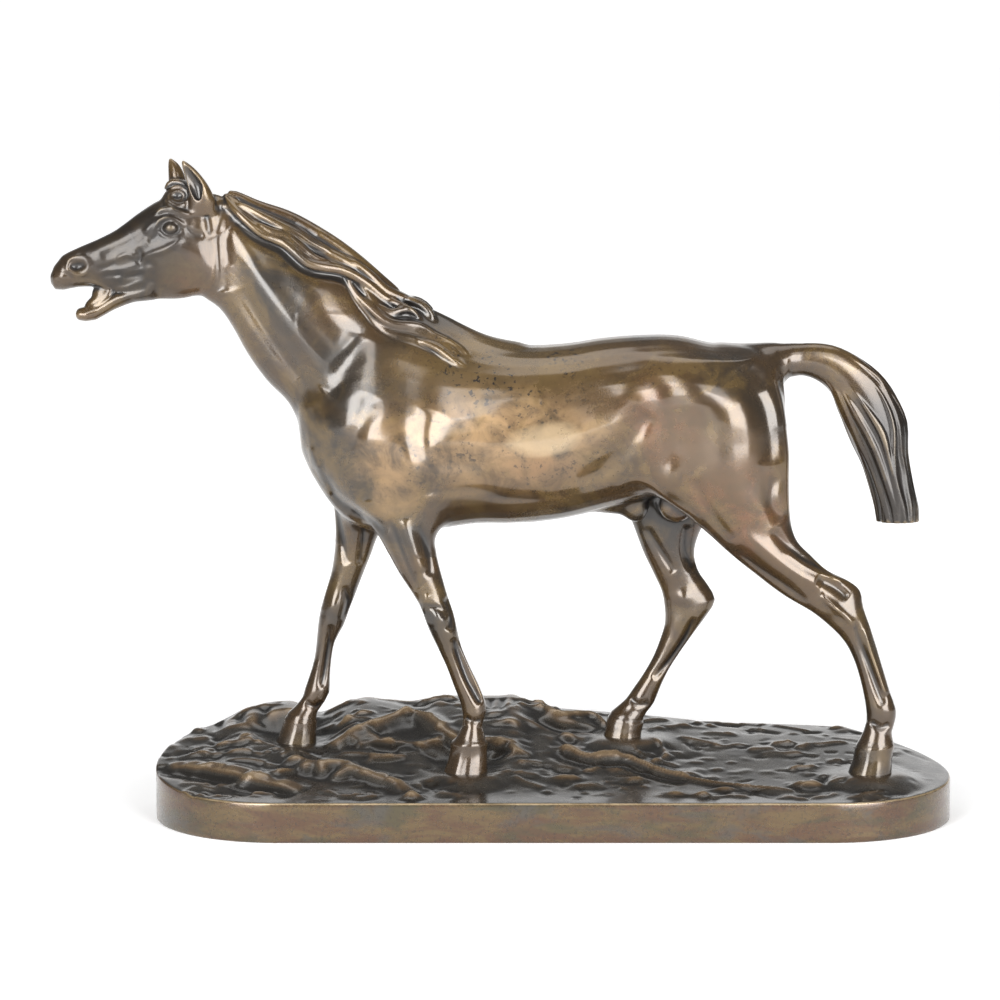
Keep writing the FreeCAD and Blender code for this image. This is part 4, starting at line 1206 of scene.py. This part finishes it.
@dataclass
class Plinth:
    """The ground casting: a plain edge below, worked ground on top, hollow underneath."""

    middle_x: float = 20.3
    length: float = 320.2
    depth: float = 104.0
    front_rim: float = 16.5
    wall: float = 4.0
    plate: float = 4.2
    around: int = 700
    ring_step: float = 0.9
    under_step: float = 2.4
    pad: float = 9.0
    pad_blend: float = 15.0
    boss_radius: float = 7.0
    boss_bore: float = 2.8
    boss_depth: float = 7.5
    map_step: float = 0.5
    map_low: tuple = (-144.0, -56.0)

    def __post_init__(self) -> None:
        """Work the ground as a map of heights."""
        size = (int(328 / self.map_step), int(112 / self.map_step))
        gx = self.map_low[0] + self.map_step * np.arange(size[0], dtype=np.float32)
        gy = self.map_low[1] + self.map_step * np.arange(size[1], dtype=np.float32)
        rise = np.interp(gx, BACK_RISE[:, 0], BACK_RISE[:, 1])
        rise = np.convolve(np.pad(rise, 8, mode="edge"), np.hanning(19)[1:-1] / np.hanning(19).sum(), "valid")
        across = smooth((gy + self.depth / 2) / self.depth)
        base = self.front_rim - 0.5 + rise[:, None] * across[None, :]
        relief = np.zeros(size, np.float32)
        low = np.array(self.map_low, np.float32)
        small = self.ripples(seed=8, count=320, length=5.5, width=1.0, height=0.7)
        for mark in (*GROUND_MARKS, *self.ripples(), *small):
            mark.press(gx, gy, low, self.map_step, relief)
        edge = self.inward(gx[:, None], gy[None, :])
        plain = smooth((gx + 126) / 22)[:, None] * smooth((14 - gy) / 30)[None, :]
        plain = np.maximum(plain, smooth((gx - 100) / 40)[:, None])
        relief *= 1 - plain * (1 - smooth(edge / 4.5))
        relief *= (0.25 + 0.75 * smooth((172 - gx) / 44))[:, None]
        self.base = base
        for hoof in HOOF_PLACES:
            gap = np.hypot(gx[:, None] - hoof.x, gy[None, :] - hoof.y) - self.pad
            share = 1 - smooth(gap / self.pad_blend)
            calm = 1 - smooth(gap / (self.pad_blend * 0.6))
            relief *= 1 - calm
            self.base = self.base * (1 - share) + (hoof.sole + 0.6) * share
        self.heights = self.base + relief
        soft = self.heights
        for _ in range(10):
            soft = (soft + np.roll(soft, 3, 0) + np.roll(soft, -3, 0) + np.roll(soft, 3, 1)
                    + np.roll(soft, -3, 1)) / 5
        self.ridge = np.clip((self.heights - soft) / 0.9, -1, 1)

    @staticmethod
    def ripples(seed: int = 4, count: int = 300, length: float = 14.0, width: float = 1.9,
                height: float = 1.5) -> list[Mark]:
        """Loose ridges and furrows all over the ground, mostly along it."""
        chance = np.random.default_rng(seed)
        made = []
        for _ in range(count):
            x, y = chance.uniform(-136, 172), chance.uniform(-48, 50)
            turn, run = chance.normal(0, 0.42), chance.uniform(0.5, 1.3) * length
            points = []
            for t in (-0.5, -0.17, 0.17, 0.5):
                sway = chance.normal(0, run * 0.07)
                points.append(f"{x + run * t * math.cos(turn) - sway * math.sin(turn):.1f} "
                              f"{y + run * t * math.sin(turn) + sway * math.cos(turn):.1f}")
            made.append(Mark(", ".join(points), width * chance.uniform(0.7, 1.5),
                             height * chance.uniform(-0.7, 1.0)))
        return made

    def inward(self, x: np.ndarray, y: np.ndarray) -> np.ndarray:
        """How far inside the plinth's outline a place is."""
        run = (self.length - self.depth) / 2
        past = np.clip(np.abs(x - self.middle_x) - run, 0, None)
        return self.depth / 2 - np.hypot(past, y)

    def outline(self, radius: float) -> np.ndarray:
        """The plinth's outline with its end arcs at a radius, as rows of x and y."""
        run, whole = (self.length - self.depth) / 2, self.depth / 2
        straight, arc = 2 * run, math.pi * whole
        along = np.linspace(0, 2 * (straight + arc), self.around, endpoint=False)
        x, y = np.empty_like(along), np.empty_like(along)
        for n in (0, 1):
            sign = 1 - 2 * n
            s = along - n * (straight + arc)
            on_side = (s >= 0) & (s < straight)
            x[on_side], y[on_side] = sign * (s[on_side] - run), -sign * radius
            on_arc = (s >= straight) & (s < straight + arc)
            angle = (s[on_arc] - straight) / whole - math.pi / 2
            x[on_arc], y[on_arc] = sign * (run + radius * np.cos(angle)), sign * radius * np.sin(angle)
        return np.stack([x + self.middle_x, y], axis=1)

    def height_at(self, places_xy: np.ndarray, values: np.ndarray | None = None) -> np.ndarray:
        """The ground's height, or another map's value, at rows of x and y."""
        values = self.heights if values is None else values
        p = (places_xy - np.array(self.map_low)) / self.map_step
        i = np.clip(np.floor(p).astype(int), 0, np.array(values.shape) - 2)
        f = p - i
        a = values[i[:, 0], i[:, 1]] * (1 - f[:, 0]) + values[i[:, 0] + 1, i[:, 1]] * f[:, 0]
        b = values[i[:, 0], i[:, 1] + 1] * (1 - f[:, 0]) + values[i[:, 0] + 1, i[:, 1] + 1] * f[:, 0]
        return a * (1 - f[:, 1]) + b * f[:, 1]

    def build(self, finish: bpy.types.Material) -> None:
        """Make the casting and dress it."""
        whole = self.depth / 2
        rows, bands = [], []

        def lay(radius: float, height: np.ndarray | float, band: float) -> None:
            """Add one ring of points."""
            line = self.outline(radius)
            rows.append(np.column_stack([line, np.broadcast_to(height, len(line))]))
            bands.append(np.full(len(line), band))

        radii = np.append(np.arange(whole - 0.9, 0.5, -self.ring_step), 0.0)
        for radius in radii[::-1]:
            lay(radius, self.height_at(self.outline(radius)), 0.0)
        rim = self.height_at(self.outline(whole - 0.5))
        for turn in (30, 60, 90):
            a = math.radians(turn)
            lay(whole - 0.9 + 0.9 * math.sin(a), rim - 0.9 * (1 - math.cos(a)), 0.5 + turn / 180)
        for share in (0.85, 0.6, 0.35, 0.12):
            lay(whole, 0.5 + (rim - 1.4) * share, 1.0)
        lay(whole, 0.5, 1.0)
        lay(whole - 0.5, 0.0, 1.0)
        lay(whole - self.wall, 0.0, 1.0)
        ceiling = self.height_at(self.outline(whole - self.wall), self.base) - self.plate
        for share in (0.1, 0.5, 0.9):
            lay(whole - self.wall, ceiling * share, 0.8)
        for radius in np.append(np.arange(whole - self.wall - 1.0, 1.2, -self.under_step), 0.0):
            line = self.outline(radius)
            lay(radius, self.height_at(line, self.base) - self.plate, 0.8)
        points = np.vstack(rows)
        count, n = len(rows), self.around
        i, j = np.meshgrid(np.arange(count - 1), np.arange(n), indexing="ij")
        i, j = i.ravel(), j.ravel()
        k = (j + 1) % n
        quads = np.stack([i * n + k, i * n + j, (i + 1) * n + j, (i + 1) * n + k], axis=1)
        piece = new_piece("plinth_bronze", points, quads)
        mesh = piece.data
        store(mesh, "band", np.concatenate(bands))
        flat = points[:, :2].astype(np.float64)
        on_top = np.concatenate(bands) < 0.75
        store(mesh, "edge", np.where(on_top, self.height_at(flat, self.ridge), 0.0))
        self.add_bosses(piece)
        take(piece)
        bpy.ops.object.mode_set(mode="EDIT")
        bpy.ops.mesh.select_all(action="SELECT")
        bpy.ops.mesh.remove_doubles(threshold=1e-6)
        bpy.ops.mesh.dissolve_degenerate(threshold=1e-7)
        bpy.ops.mesh.select_all(action="SELECT")
        bpy.ops.mesh.normals_make_consistent(inside=False)
        bpy.ops.object.mode_set(mode="OBJECT")
        bpy.ops.object.shade_smooth_by_angle(angle=math.radians(50))
        mesh.materials.clear()
        mesh.materials.append(finish)
        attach(piece, "root")
        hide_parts("plinth")
        log.info("plinth: %d faces", len(mesh.polygons))

    def add_bosses(self, piece: bpy.types.Object) -> None:
        """Join the bored bosses for the studs to the casting's underside."""
        bosses = []
        for hoof in HOOF_PLACES:
            quiet()
            top = hoof.sole - 1.5
            depth = self.boss_depth - 1.5
            bpy.ops.mesh.primitive_cylinder_add(vertices=64, radius=self.boss_bore * MM, depth=depth * MM,
                                                end_fill_type="NOTHING",
                                                location=(hoof.x * MM, hoof.y * MM, (top - depth / 2) * MM))
            boss = take(bpy.context.object)
            bpy.ops.object.transform_apply(location=True, rotation=True, scale=True)
            bpy.ops.object.modifier_add(type="SOLIDIFY")
            boss.modifiers[-1].thickness = (self.boss_radius - self.boss_bore) * MM
            boss.modifiers[-1].offset = 1.0
            bpy.ops.object.modifier_apply(modifier=boss.modifiers[-1].name)
            bosses.append(boss)
        quiet()
        for boss in bosses:
            boss.select_set(True)
        piece.select_set(True)
        bpy.context.view_layer.objects.active = piece
        bpy.ops.object.join()


# ------------------------------------------------------------------------------ finishes
class Socket:
    """A node's output that arithmetic can be written on."""

    def __init__(self, maker: "Maker", link: bpy.types.NodeSocket) -> None:
        """Wrap one output."""
        self.maker, self.link = maker, link

    def _math(self, operation: str, a: object, b: object) -> "Socket":
        """Add a Math node."""
        return self.maker.node("ShaderNodeMath", {"operation": operation}, {0: a, 1: b})

    def __add__(self, other: object) -> "Socket":
        """Sum."""
        return self._math("ADD", self, other)

    def __sub__(self, other: object) -> "Socket":
        """Difference."""
        return self._math("SUBTRACT", self, other)

    def __rsub__(self, other: object) -> "Socket":
        """Difference from a number."""
        return self._math("SUBTRACT", other, self)

    def __mul__(self, other: object) -> "Socket":
        """Product."""
        return self._math("MULTIPLY", self, other)

    __radd__ = __add__
    __rmul__ = __mul__

    def clip(self) -> "Socket":
        """Held between 0 and 1."""
        return self.maker.node("ShaderNodeClamp", {}, {"Value": self})

    def between(self, low: float, high: float) -> "Socket":
        """0 at low, 1 at high, eased between them."""
        return self.maker.node("ShaderNodeMapRange", {"interpolation_type": "SMOOTHSTEP"},
                               {"Value": self, "From Min": low, "From Max": high})


class Maker:
    """Adds nodes to one material."""

    def __init__(self, name: str) -> None:
        """Start an empty material."""
        self.material = bpy.data.materials.new(name)
        self.material.use_nodes = True
        self.tree = self.material.node_tree
        self.tree.nodes.clear()

    def node(self, kind: str, settings: dict, inputs: dict, output: int | str = 0) -> Socket:
        """Add a node.

        Args:
            kind: its type.
            settings: its own settings, such as a Math node's operation.
            inputs: values or sockets, by input name or number.
            output: the name or number of the output that is wanted.

        Returns:
            That output.
        """
        made = self.tree.nodes.new(kind)
        for key, value in settings.items():
            setattr(made, key, value)
        for key, value in inputs.items():
            if isinstance(value, Socket):
                self.tree.links.new(value.link, made.inputs[key])
            else:
                made.inputs[key].default_value = value
        return Socket(self, made.outputs[output])

    def place(self, scale: tuple = (1.0, 1.0, 1.0)) -> Socket:
        """The place on the object in millimetres, stretched by scale."""
        here = self.node("ShaderNodeTexCoord", {}, {}, "Object")
        return self.node("ShaderNodeMapping", {}, {"Vector": here, "Scale": [s / MM for s in scale]})

    def note(self, name: str) -> Socket:
        """A number kept with the mesh."""
        return self.node("ShaderNodeAttribute", {"attribute_name": name}, {}, "Fac")

    def cloud(self, size: float, detail: float = 4.0, rough: float = 0.55, warp: float = 0.0,
              stretch: tuple = (1.0, 1.0, 1.0)) -> Socket:
        """Soft noise of a size in millimetres, from 0 to 1."""
        return self.node("ShaderNodeTexNoise", {}, {
            "Vector": self.place(stretch), "Scale": 1.0 / size, "Detail": detail, "Roughness": rough,
            "Distortion": warp}, "Fac")

    def blend(self, share: object, a: object, b: object) -> Socket:
        """Colour a where share is 0 and colour b where it is 1."""
        made = self.tree.nodes.new("ShaderNodeMix")
        made.data_type = "RGBA"
        for key, value in ((0, share), (6, a), (7, b)):
            if isinstance(value, Socket):
                self.tree.links.new(value.link, made.inputs[key])
            else:
                made.inputs[key].default_value = value
        return Socket(self, made.outputs[2])

    def near(self, middle: tuple, reach: tuple) -> Socket:
        """1 at a place in millimetres, falling to 0 at reach each way."""
        here = self.node("ShaderNodeTexCoord", {}, {}, "Object")
        moved = self.node("ShaderNodeVectorMath", {"operation": "SUBTRACT"},
                          {0: here, 1: [m * MM for m in middle]})
        scaled = self.node("ShaderNodeVectorMath", {"operation": "DIVIDE"},
                           {0: moved, 1: [r * MM for r in reach]})
        length = self.node("ShaderNodeVectorMath", {"operation": "LENGTH"}, {0: scaled}, "Value")
        return 1 - length.between(0.3, 1.0)

    def shade(self, inputs: dict) -> bpy.types.Material:
        """Close the material with its surface shader."""
        surface = self.node("ShaderNodeBsdfPrincipled", {}, inputs)
        out = self.tree.nodes.new("ShaderNodeOutputMaterial")
        self.tree.links.new(surface.link, out.inputs["Surface"])
        return self.material


def rgb(r: float, g: float, b: float) -> tuple[float, float, float, float]:
    """An opaque colour."""
    return (r, g, b, 1.0)


@dataclass(frozen=True)
class Bronze:
    """Patinated bronze of the horse, dark in its hollows and rubbed on its ridges."""

    name: str = "horse_patina"
    dark: tuple = rgb(0.016, 0.014, 0.013)
    brown: tuple = rgb(0.088, 0.050, 0.020)
    grey: tuple = rgb(0.034, 0.026, 0.018)
    tan: tuple = rgb(0.34, 0.21, 0.095)
    olive: tuple = rgb(0.145, 0.092, 0.033)
    red: tuple = rgb(0.16, 0.068, 0.028)
    rubbed: tuple = rgb(0.42, 0.31, 0.18)
    gloss: float = 0.25

    def make(self) -> bpy.types.Material:
        """Build the material."""
        m = Maker(self.name)
        edge, shelter = m.note("edge"), m.note("shelter")
        broad, patch, fine = m.cloud(44, 3), m.cloud(13, 5, 0.62, 0.5), m.cloud(1.8, 3, 0.6)
        tone = m.blend(broad.between(0.40, 0.66), self.brown, self.grey)
        tone = m.blend(m.cloud(24, 5, 0.65, 0.8).between(0.46, 0.66) * 0.75, tone, self.olive)
        barrel = m.near((4, 0, 156), (62, 70, 34)) + m.near((-44, 0, 146), (26, 60, 36)) * 0.9
        back = m.near((0, 0, 184), (70, 60, 20))
        tone = m.blend((back * (0.35 + patch)).clip() * 0.9, tone, self.olive)
        tone = m.blend((barrel * patch.between(0.32, 0.66) * 0.9).clip(), tone, self.tan)
        rust = m.near((92, 0, 126), (34, 60, 34)) + m.near((62, 0, 164), (26, 60, 26)) * 0.8
        rust = rust + m.near((-128, 0, 220), (16, 40, 16)) * 0.8
        rust = rust + m.near((14, 0, 146), (26, 60, 12)) * 0.5
        tone = m.blend((rust * patch.between(0.40, 0.66) * 0.9).clip(), tone, self.red)
        spots = m.cloud(2.2, 3, 0.6).between(0.56, 0.66) * m.cloud(17, 3).between(0.42, 0.58)
        spots = spots * (back + barrel * 0.8 + 0.25)
        tone = m.blend((spots * 0.85).clip(), tone, self.dark)
        tone = m.blend((1 - fine.between(0.26, 0.44)) * 0.30, tone, self.dark)
        head, tail = m.near((-146, 0, 232), (44, 60, 34)), m.near((158, 0, 146), (34, 40, 56))
        height = m.node("ShaderNodeSeparateXYZ", {}, {0: m.node("ShaderNodeTexCoord", {}, {}, "Object")}, 2)
        legs = 1 - height.between(0.06, 0.125)
        tone = m.blend(((head + tail) * (0.55 + patch * 0.6) + legs * patch * 0.7).clip(), tone, self.dark)
        hollow = (shelter.between(0.10, 0.55) + (edge * -5.0).clip() * 0.9).clip()
        tone = m.blend(hollow * 0.94, tone, self.dark)
        worn = ((edge - 0.15 + (patch - 0.5) * 0.24) * 4.0).clip()
        tone = m.blend(worn * 0.65, tone, self.rubbed)
        rough = self.gloss + head * 0.12 + hollow * 0.14 + (fine - 0.5) * 0.08 + (patch - 0.5) * 0.14
        rough = rough + barrel * 0.10 - worn * 0.04
        bump = m.node("ShaderNodeBump", {}, {"Strength": 0.16, "Distance": 0.0003,
                                             "Height": m.cloud(0.9, 3, 0.6) + patch * 0.8})
        return m.shade({"Base Color": tone, "Metallic": 0.46, "Roughness": rough, "Normal": bump,
                        "Coat Weight": 0.8 - (head + tail) * 0.45, "Coat Roughness": 0.16, "Coat IOR": 1.6})


@dataclass(frozen=True)
class GroundBronze:
    """The plinth's bronze: dark ground with rubbed ridges, and a golden-brown edge."""

    name: str = "ground_patina"
    dark: tuple = rgb(0.016, 0.014, 0.012)
    grey: tuple = rgb(0.060, 0.052, 0.042)
    ridge: tuple = rgb(0.16, 0.10, 0.052)
    gold: tuple = rgb(0.105, 0.066, 0.024)
    red: tuple = rgb(0.080, 0.038, 0.017)
    green: tuple = rgb(0.048, 0.042, 0.018)
    bright: tuple = rgb(0.46, 0.35, 0.21)

    def make(self) -> bpy.types.Material:
        """Build the material."""
        m = Maker(self.name)
        edge, band = m.note("edge"), m.note("band")
        patch, fine = m.cloud(9, 4, 0.6, 0.4), m.cloud(1.4, 3, 0.6)
        top = m.blend((patch.between(0.35, 0.7) * 0.8).clip(), self.grey, self.dark)
        top = m.blend((edge * 1.3 - 0.15 + (patch - 0.5) * 0.8).clip() * 0.8, top, self.ridge)
        top = m.blend(((edge - 0.7) * 2.4 + (patch - 0.5)).clip() * 0.35, top, self.bright)
        top = m.blend((edge * -2.4 - 0.1).clip() * 0.85, top, self.dark)
        streak = m.cloud(9, 4, 0.65, 0.6, (0.45, 0.45, 1.8))
        stain = m.cloud(16, 3, 0.6, 0.5, (0.6, 0.6, 1.6))
        side = m.blend(streak.between(0.36, 0.62), self.gold, self.red)
        side = m.blend(stain.between(0.48, 0.66) * 0.75, side, self.green)
        side = m.blend(m.cloud(22, 4, 0.65, 0.8, (0.7, 0.7, 1.5)).between(0.5, 0.68) * 0.8, side, self.grey)
        side = m.blend((1 - fine.between(0.3, 0.5)) * 0.4, side, self.dark)
        tone = m.blend(band.between(0.55, 0.8), top, side)
        rim = band.between(0.4, 0.66) * (1 - band.between(0.84, 0.99))
        rim = rim * (1 - m.near((-142, 0, 18), (62, 60, 40)))
        tone = m.blend((rim * (0.55 + (patch - 0.4) * 1.5)).clip(), tone, self.bright)
        rough = 0.28 + (patch - 0.5) * 0.2 + (fine - 0.5) * 0.12 - rim * 0.06
        bump = m.node("ShaderNodeBump", {}, {"Strength": 0.22, "Distance": 0.0004,
                                             "Height": m.cloud(1.6, 4, 0.65) + patch * 0.6})
        return m.shade({"Base Color": tone, "Metallic": 0.5, "Roughness": rough, "Normal": bump,
                        "Coat Weight": 0.7, "Coat Roughness": 0.18, "Coat IOR": 1.6})


@dataclass(frozen=True)
class TurnedMetal:
    """The bare metal of pins, plugs, studs, washers and nuts, a little stained."""

    name: str
    tone: tuple
    stain: tuple
    gloss: float = 0.3
    metallic: float = 0.95

    def make(self) -> bpy.types.Material:
        """Build the material."""
        m = Maker(self.name)
        patch, fine = m.cloud(2.6, 4, 0.6, 0.3), m.cloud(0.35, 2, 0.6, 0.0, (0.3, 0.3, 2.0))
        tone = m.blend(patch.between(0.42, 0.68) * 0.7, self.tone, self.stain)
        rough = self.gloss + (patch - 0.5) * 0.3 + (fine - 0.5) * 0.12
        bump = m.node("ShaderNodeBump", {}, {"Strength": 0.15, "Distance": 0.0001, "Height": fine})
        return m.shade({"Base Color": tone, "Metallic": self.metallic, "Roughness": rough, "Normal": bump})


# ------------------------------------------------------------------------------ stage
@dataclass(frozen=True)
class SoftBox:
    """A rectangular light: its place, what it points at, its size in metres and its power."""

    name: str
    place: tuple
    aim: tuple
    size: tuple
    watts: float

    def hang(self) -> None:
        """Add the light."""
        lamp = bpy.data.lights.new(self.name, "AREA")
        lamp.shape, lamp.size, lamp.size_y, lamp.energy = "RECTANGLE", *self.size, self.watts
        box = bpy.data.objects.new(self.name, lamp)
        box.location = self.place
        box.rotation_euler = (Vector(self.aim) - Vector(self.place)).to_track_quat("-Z", "Y").to_euler()
        bpy.context.scene.collection.objects.link(box)


@dataclass(frozen=True)
class Studio:
    """The pale floor, the soft lights and the camera."""

    boxes: tuple = (
        SoftBox("left_box", (-0.88, -1.40, 0.56), (-0.02, 0, 0.17), (0.9, 1.0), 27),
        SoftBox("right_box", (0.95, -1.36, 0.48), (0.05, 0, 0.15), (1.1, 1.1), 33),
        SoftBox("high_left_box", (-0.52, -1.12, 1.18), (-0.08, 0, 0.2), (0.5, 0.7), 5),
        SoftBox("high_right_box", (0.58, -1.14, 1.05), (0.07, 0, 0.17), (0.5, 0.6), 3),
        SoftBox("top_box", (0.0, 0.25, 1.6), (0, 0, 0.1), (1.5, 0.8), 6),
    )
    room: float = 0.15
    backdrop: float = 1.06

    def build(self) -> None:
        """Set the stage."""
        bpy.context.scene.view_settings.view_transform = "Standard"
        quiet()
        bpy.ops.mesh.primitive_plane_add(size=12, location=(0, 3.5, 0))
        floor = bpy.context.object
        floor.name = "floor"
        m = Maker("floor_paper")
        back = m.node("ShaderNodeSeparateXYZ", {}, {0: m.node("ShaderNodeTexCoord", {}, {}, "Object")}, 1)
        lit = m.blend(back.between(-3.5, -2.6), rgb(0.32, 0.32, 0.32), rgb(1, 1, 1))
        floor.data.materials.append(m.shade({"Base Color": rgb(0.9, 0.9, 0.9), "Roughness": 0.95,
                                             "Emission Color": lit, "Emission Strength": 0.84}))
        self.room_light()
        for box in self.boxes:
            box.hang()
        self.camera()

    def room_light(self) -> None:
        """Light the room evenly and dimly, with a white backdrop behind the plinth."""
        world = bpy.data.worlds.new("studio")
        world.use_nodes = True
        tree = world.node_tree
        here = tree.nodes.new("ShaderNodeTexCoord")
        split = tree.nodes.new("ShaderNodeSeparateXYZ")
        reach = tree.nodes.new("ShaderNodeMapRange")
        reach.interpolation_type = "SMOOTHSTEP"
        for socket, value in zip(reach.inputs[1:5], (0.80, 0.95, self.room, self.backdrop)):
            socket.default_value = value
        tree.links.new(here.outputs["Generated"], split.inputs[0])
        tree.links.new(split.outputs["Y"], reach.inputs[0])
        tree.links.new(reach.outputs[0], tree.nodes["Background"].inputs["Strength"])
        tree.nodes["Background"].inputs["Color"].default_value = rgb(1, 1, 1)
        bpy.context.scene.world = world

    @staticmethod
    def camera() -> None:
        """Place the camera."""
        eye = bpy.data.cameras.new("camera")
        eye.lens, eye.sensor_width = 145.4, 36.0
        view = bpy.data.objects.new("camera", eye)
        view.location = (-0.0011, -1.6, 0.352)
        view.rotation_euler = (math.radians(90 - 7.95), 0, 0)
        bpy.context.scene.collection.objects.link(view)
        bpy.context.scene.camera = view


# ------------------------------------------------------------------------------ the horse
class Horse:
    """The horse, modelled in blocks of clay and cut into its castings."""

    def masses(self, clay: Clay) -> None:
        """Build up the trunk, neck, limbs, tail and head."""
        clay.add(Loft(TORSO), 1.0)
        clay.add(Loft(NECK), 10.0)
        clay.add(Loft(DOCK), 7.0)
        for rings in (NEAR_FORELEG, FAR_FORELEG):
            clay.add(Loft(rings), 7.0)
        for rings in (NEAR_HINDLEG, FAR_HINDLEG):
            clay.add(Loft(rings), 8.0)
        for rings in (NEAR_FORE_HOOF, FAR_FORE_HOOF, NEAR_HIND_HOOF, FAR_HIND_HOOF):
            clay.add(Loft(rings), 3.4)
        clay.add(Loft(HEAD), 3.0)
        clay.add(Loft(LOWER_JAW), 2.0)
        clay.add(Pad(46, 0, 127.6, 12, 5.2, 4.6, tilt=6), 4.0)
        clay.add(Pad(53, 0, 124.4, 4.0, 3.6, 4.6, tilt=-20), 4.0)
        for y in (-3.4, 3.4):
            clay.add(Pad(69.0, y, 126.0, 6.6, 4.4, 5.8, tilt=14), 4.0)

    def head_details(self, clay: Clay) -> None:
        """Add the eyes, nostrils, lips, tongue, ears and forelock."""
        clay.add(Pad(-160.6, 0, 208.8, 6.2, 3.2, 2.5, tilt=-30), 0.8)
        clay.add(Pad(-158.0, 0, 211.0, 5.2, 3.5, 4.6), 1.0)
        clay.add(Pad(-128.4, 0, 250.0, 6.2, 6.4, 4.2, tilt=-12), 2.0)
        for side in (-1, 1):
            eye_y, nostril_y = clay.side_y(np.array([[-130.8, 238.0], [-168.2, 222.8]]), side)
            clay.carve(Pad(-131.0, eye_y + side * 0.5, 238.1, 4.8, 1.5, 3.6), 1.4)
            clay.add(Pad(-130.8, eye_y - side * 1.6, 238.1, 3.2, 3.1, 2.8), 0.5)
            clay.carve(Pad(-168.2, nostril_y + side * 0.7, 222.7, 3.3, 2.2, 2.0, tilt=-6), 0.9)
        for detail in (*FACE, *EARS):
            detail.on(clay)
        for side in (-1, 1):
            curl_y = clay.side_y(np.array([[-128.2, 250.8]]), side)[0]
            clay.carve(Pad(-128.2, curl_y + side * 0.3, 250.8, 2.6, 1.8, 1.7), 0.4)

    def model(self, clay: Clay) -> Clay:
        """Build up the whole horse in a block, as far as it lies in it."""
        self.masses(clay)
        press_sides(clay, MARKS)
        clay.roughen(6.5, 0.10, 3)
        clay.roughen(3.0, 0.035, 5)
        for lock in MANE:
            lock.on(clay)
        if clay.low[0] < -130:
            self.head_details(clay)
        tail = Loft(TAIL)
        clay.add(tail, 5.0)
        if clay.voxel < 0.45 and clay.low[0] > 0:
            TailHair().on(clay, tail)
        clay.soften()
        return clay

    def build(self, bronze: bpy.types.Material) -> None:
        """Make every casting."""
        blocks = (
            (Clay((-100, -36, 90), (126, 36, 234), 0.6),
             (Casting("torso", (0, 0, 191), (NECK_JOINT, NEAR_FORE_JOINT, FAR_FORE_JOINT, NEAR_HIND_JOINT,
                                             FAR_HIND_JOINT, TAIL_JOINT)),)),
            (Clay((-184, -27, 150), (-8, 27, 268), 0.44),
             (Casting("neck_and_head", (-150, 0, 238), (NECK_JOINT,)),)),
            (Clay((-100, -30, 15), (0, 30, 125), 0.45),
             (Casting("near_foreleg", (-25, -16, 82), (NEAR_FORE_JOINT,)),
              Casting("far_foreleg", (-68, 16, 80), (FAR_FORE_JOINT,)))),
            (Clay((36, -30, 15), (162, 30, 122), 0.45),
             (Casting("near_hindleg", (140, -16, 84), (NEAR_HIND_JOINT,)),
              Casting("far_hindleg", (80, 16, 84), (FAR_HIND_JOINT,)))),
            (Clay((96, -14, 114), (172, 14, 200), 0.38),
             (Casting("tail", (160, 0, 150), (TAIL_JOINT,)),)),
        )
        for clay, castings in blocks:
            self.model(clay)
            skin = clay.skin()
            for casting in castings:
                piece = casting.cut(clay, skin)
                finish_surface(piece, clay)
                piece.data.materials.append(bronze)
                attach(piece, "root")
                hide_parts(casting.node)
                log.info("%s: %d triangles", casting.node, len(piece.data.polygons))


@dataclass(frozen=True)
class Fixings:
    """The pins, plugs, studs, washers and nuts, which keep their CAD shapes."""

    steel: TurnedMetal = TurnedMetal("fixing_metal", rgb(0.50, 0.49, 0.47), rgb(0.16, 0.11, 0.08), 0.36)
    brass: TurnedMetal = TurnedMetal("pin_metal", rgb(0.34, 0.21, 0.10), rgb(0.07, 0.04, 0.025), 0.38)

    def dress(self) -> None:
        """Give every fixing its metal."""
        finishes = {"fixing": self.steel.make(), "pin": self.brass.make()}
        for name, node in frame["nodes"].items():
            piece = node if isinstance(node, bpy.types.Object) else bpy.data.objects[name]
            if name.endswith(("_stud", "_washer", "_nut")):
                kind = "fixing"
            elif "pin" in name or "plug" in name:
                kind = "pin"
            else:
                continue
            for slot in piece.material_slots:
                slot.material = finishes[kind]
            log.info("%s: %s", name, kind)


def main() -> None:
    """Build the statuette and its stage."""
    logging.basicConfig(level=logging.INFO, format="%(message)s")
    Horse().build(Bronze().make())
    Plinth().build(GroundBronze().make())
    Fixings().dress()
    Studio().build()


if __name__ == "__main__":
    main()
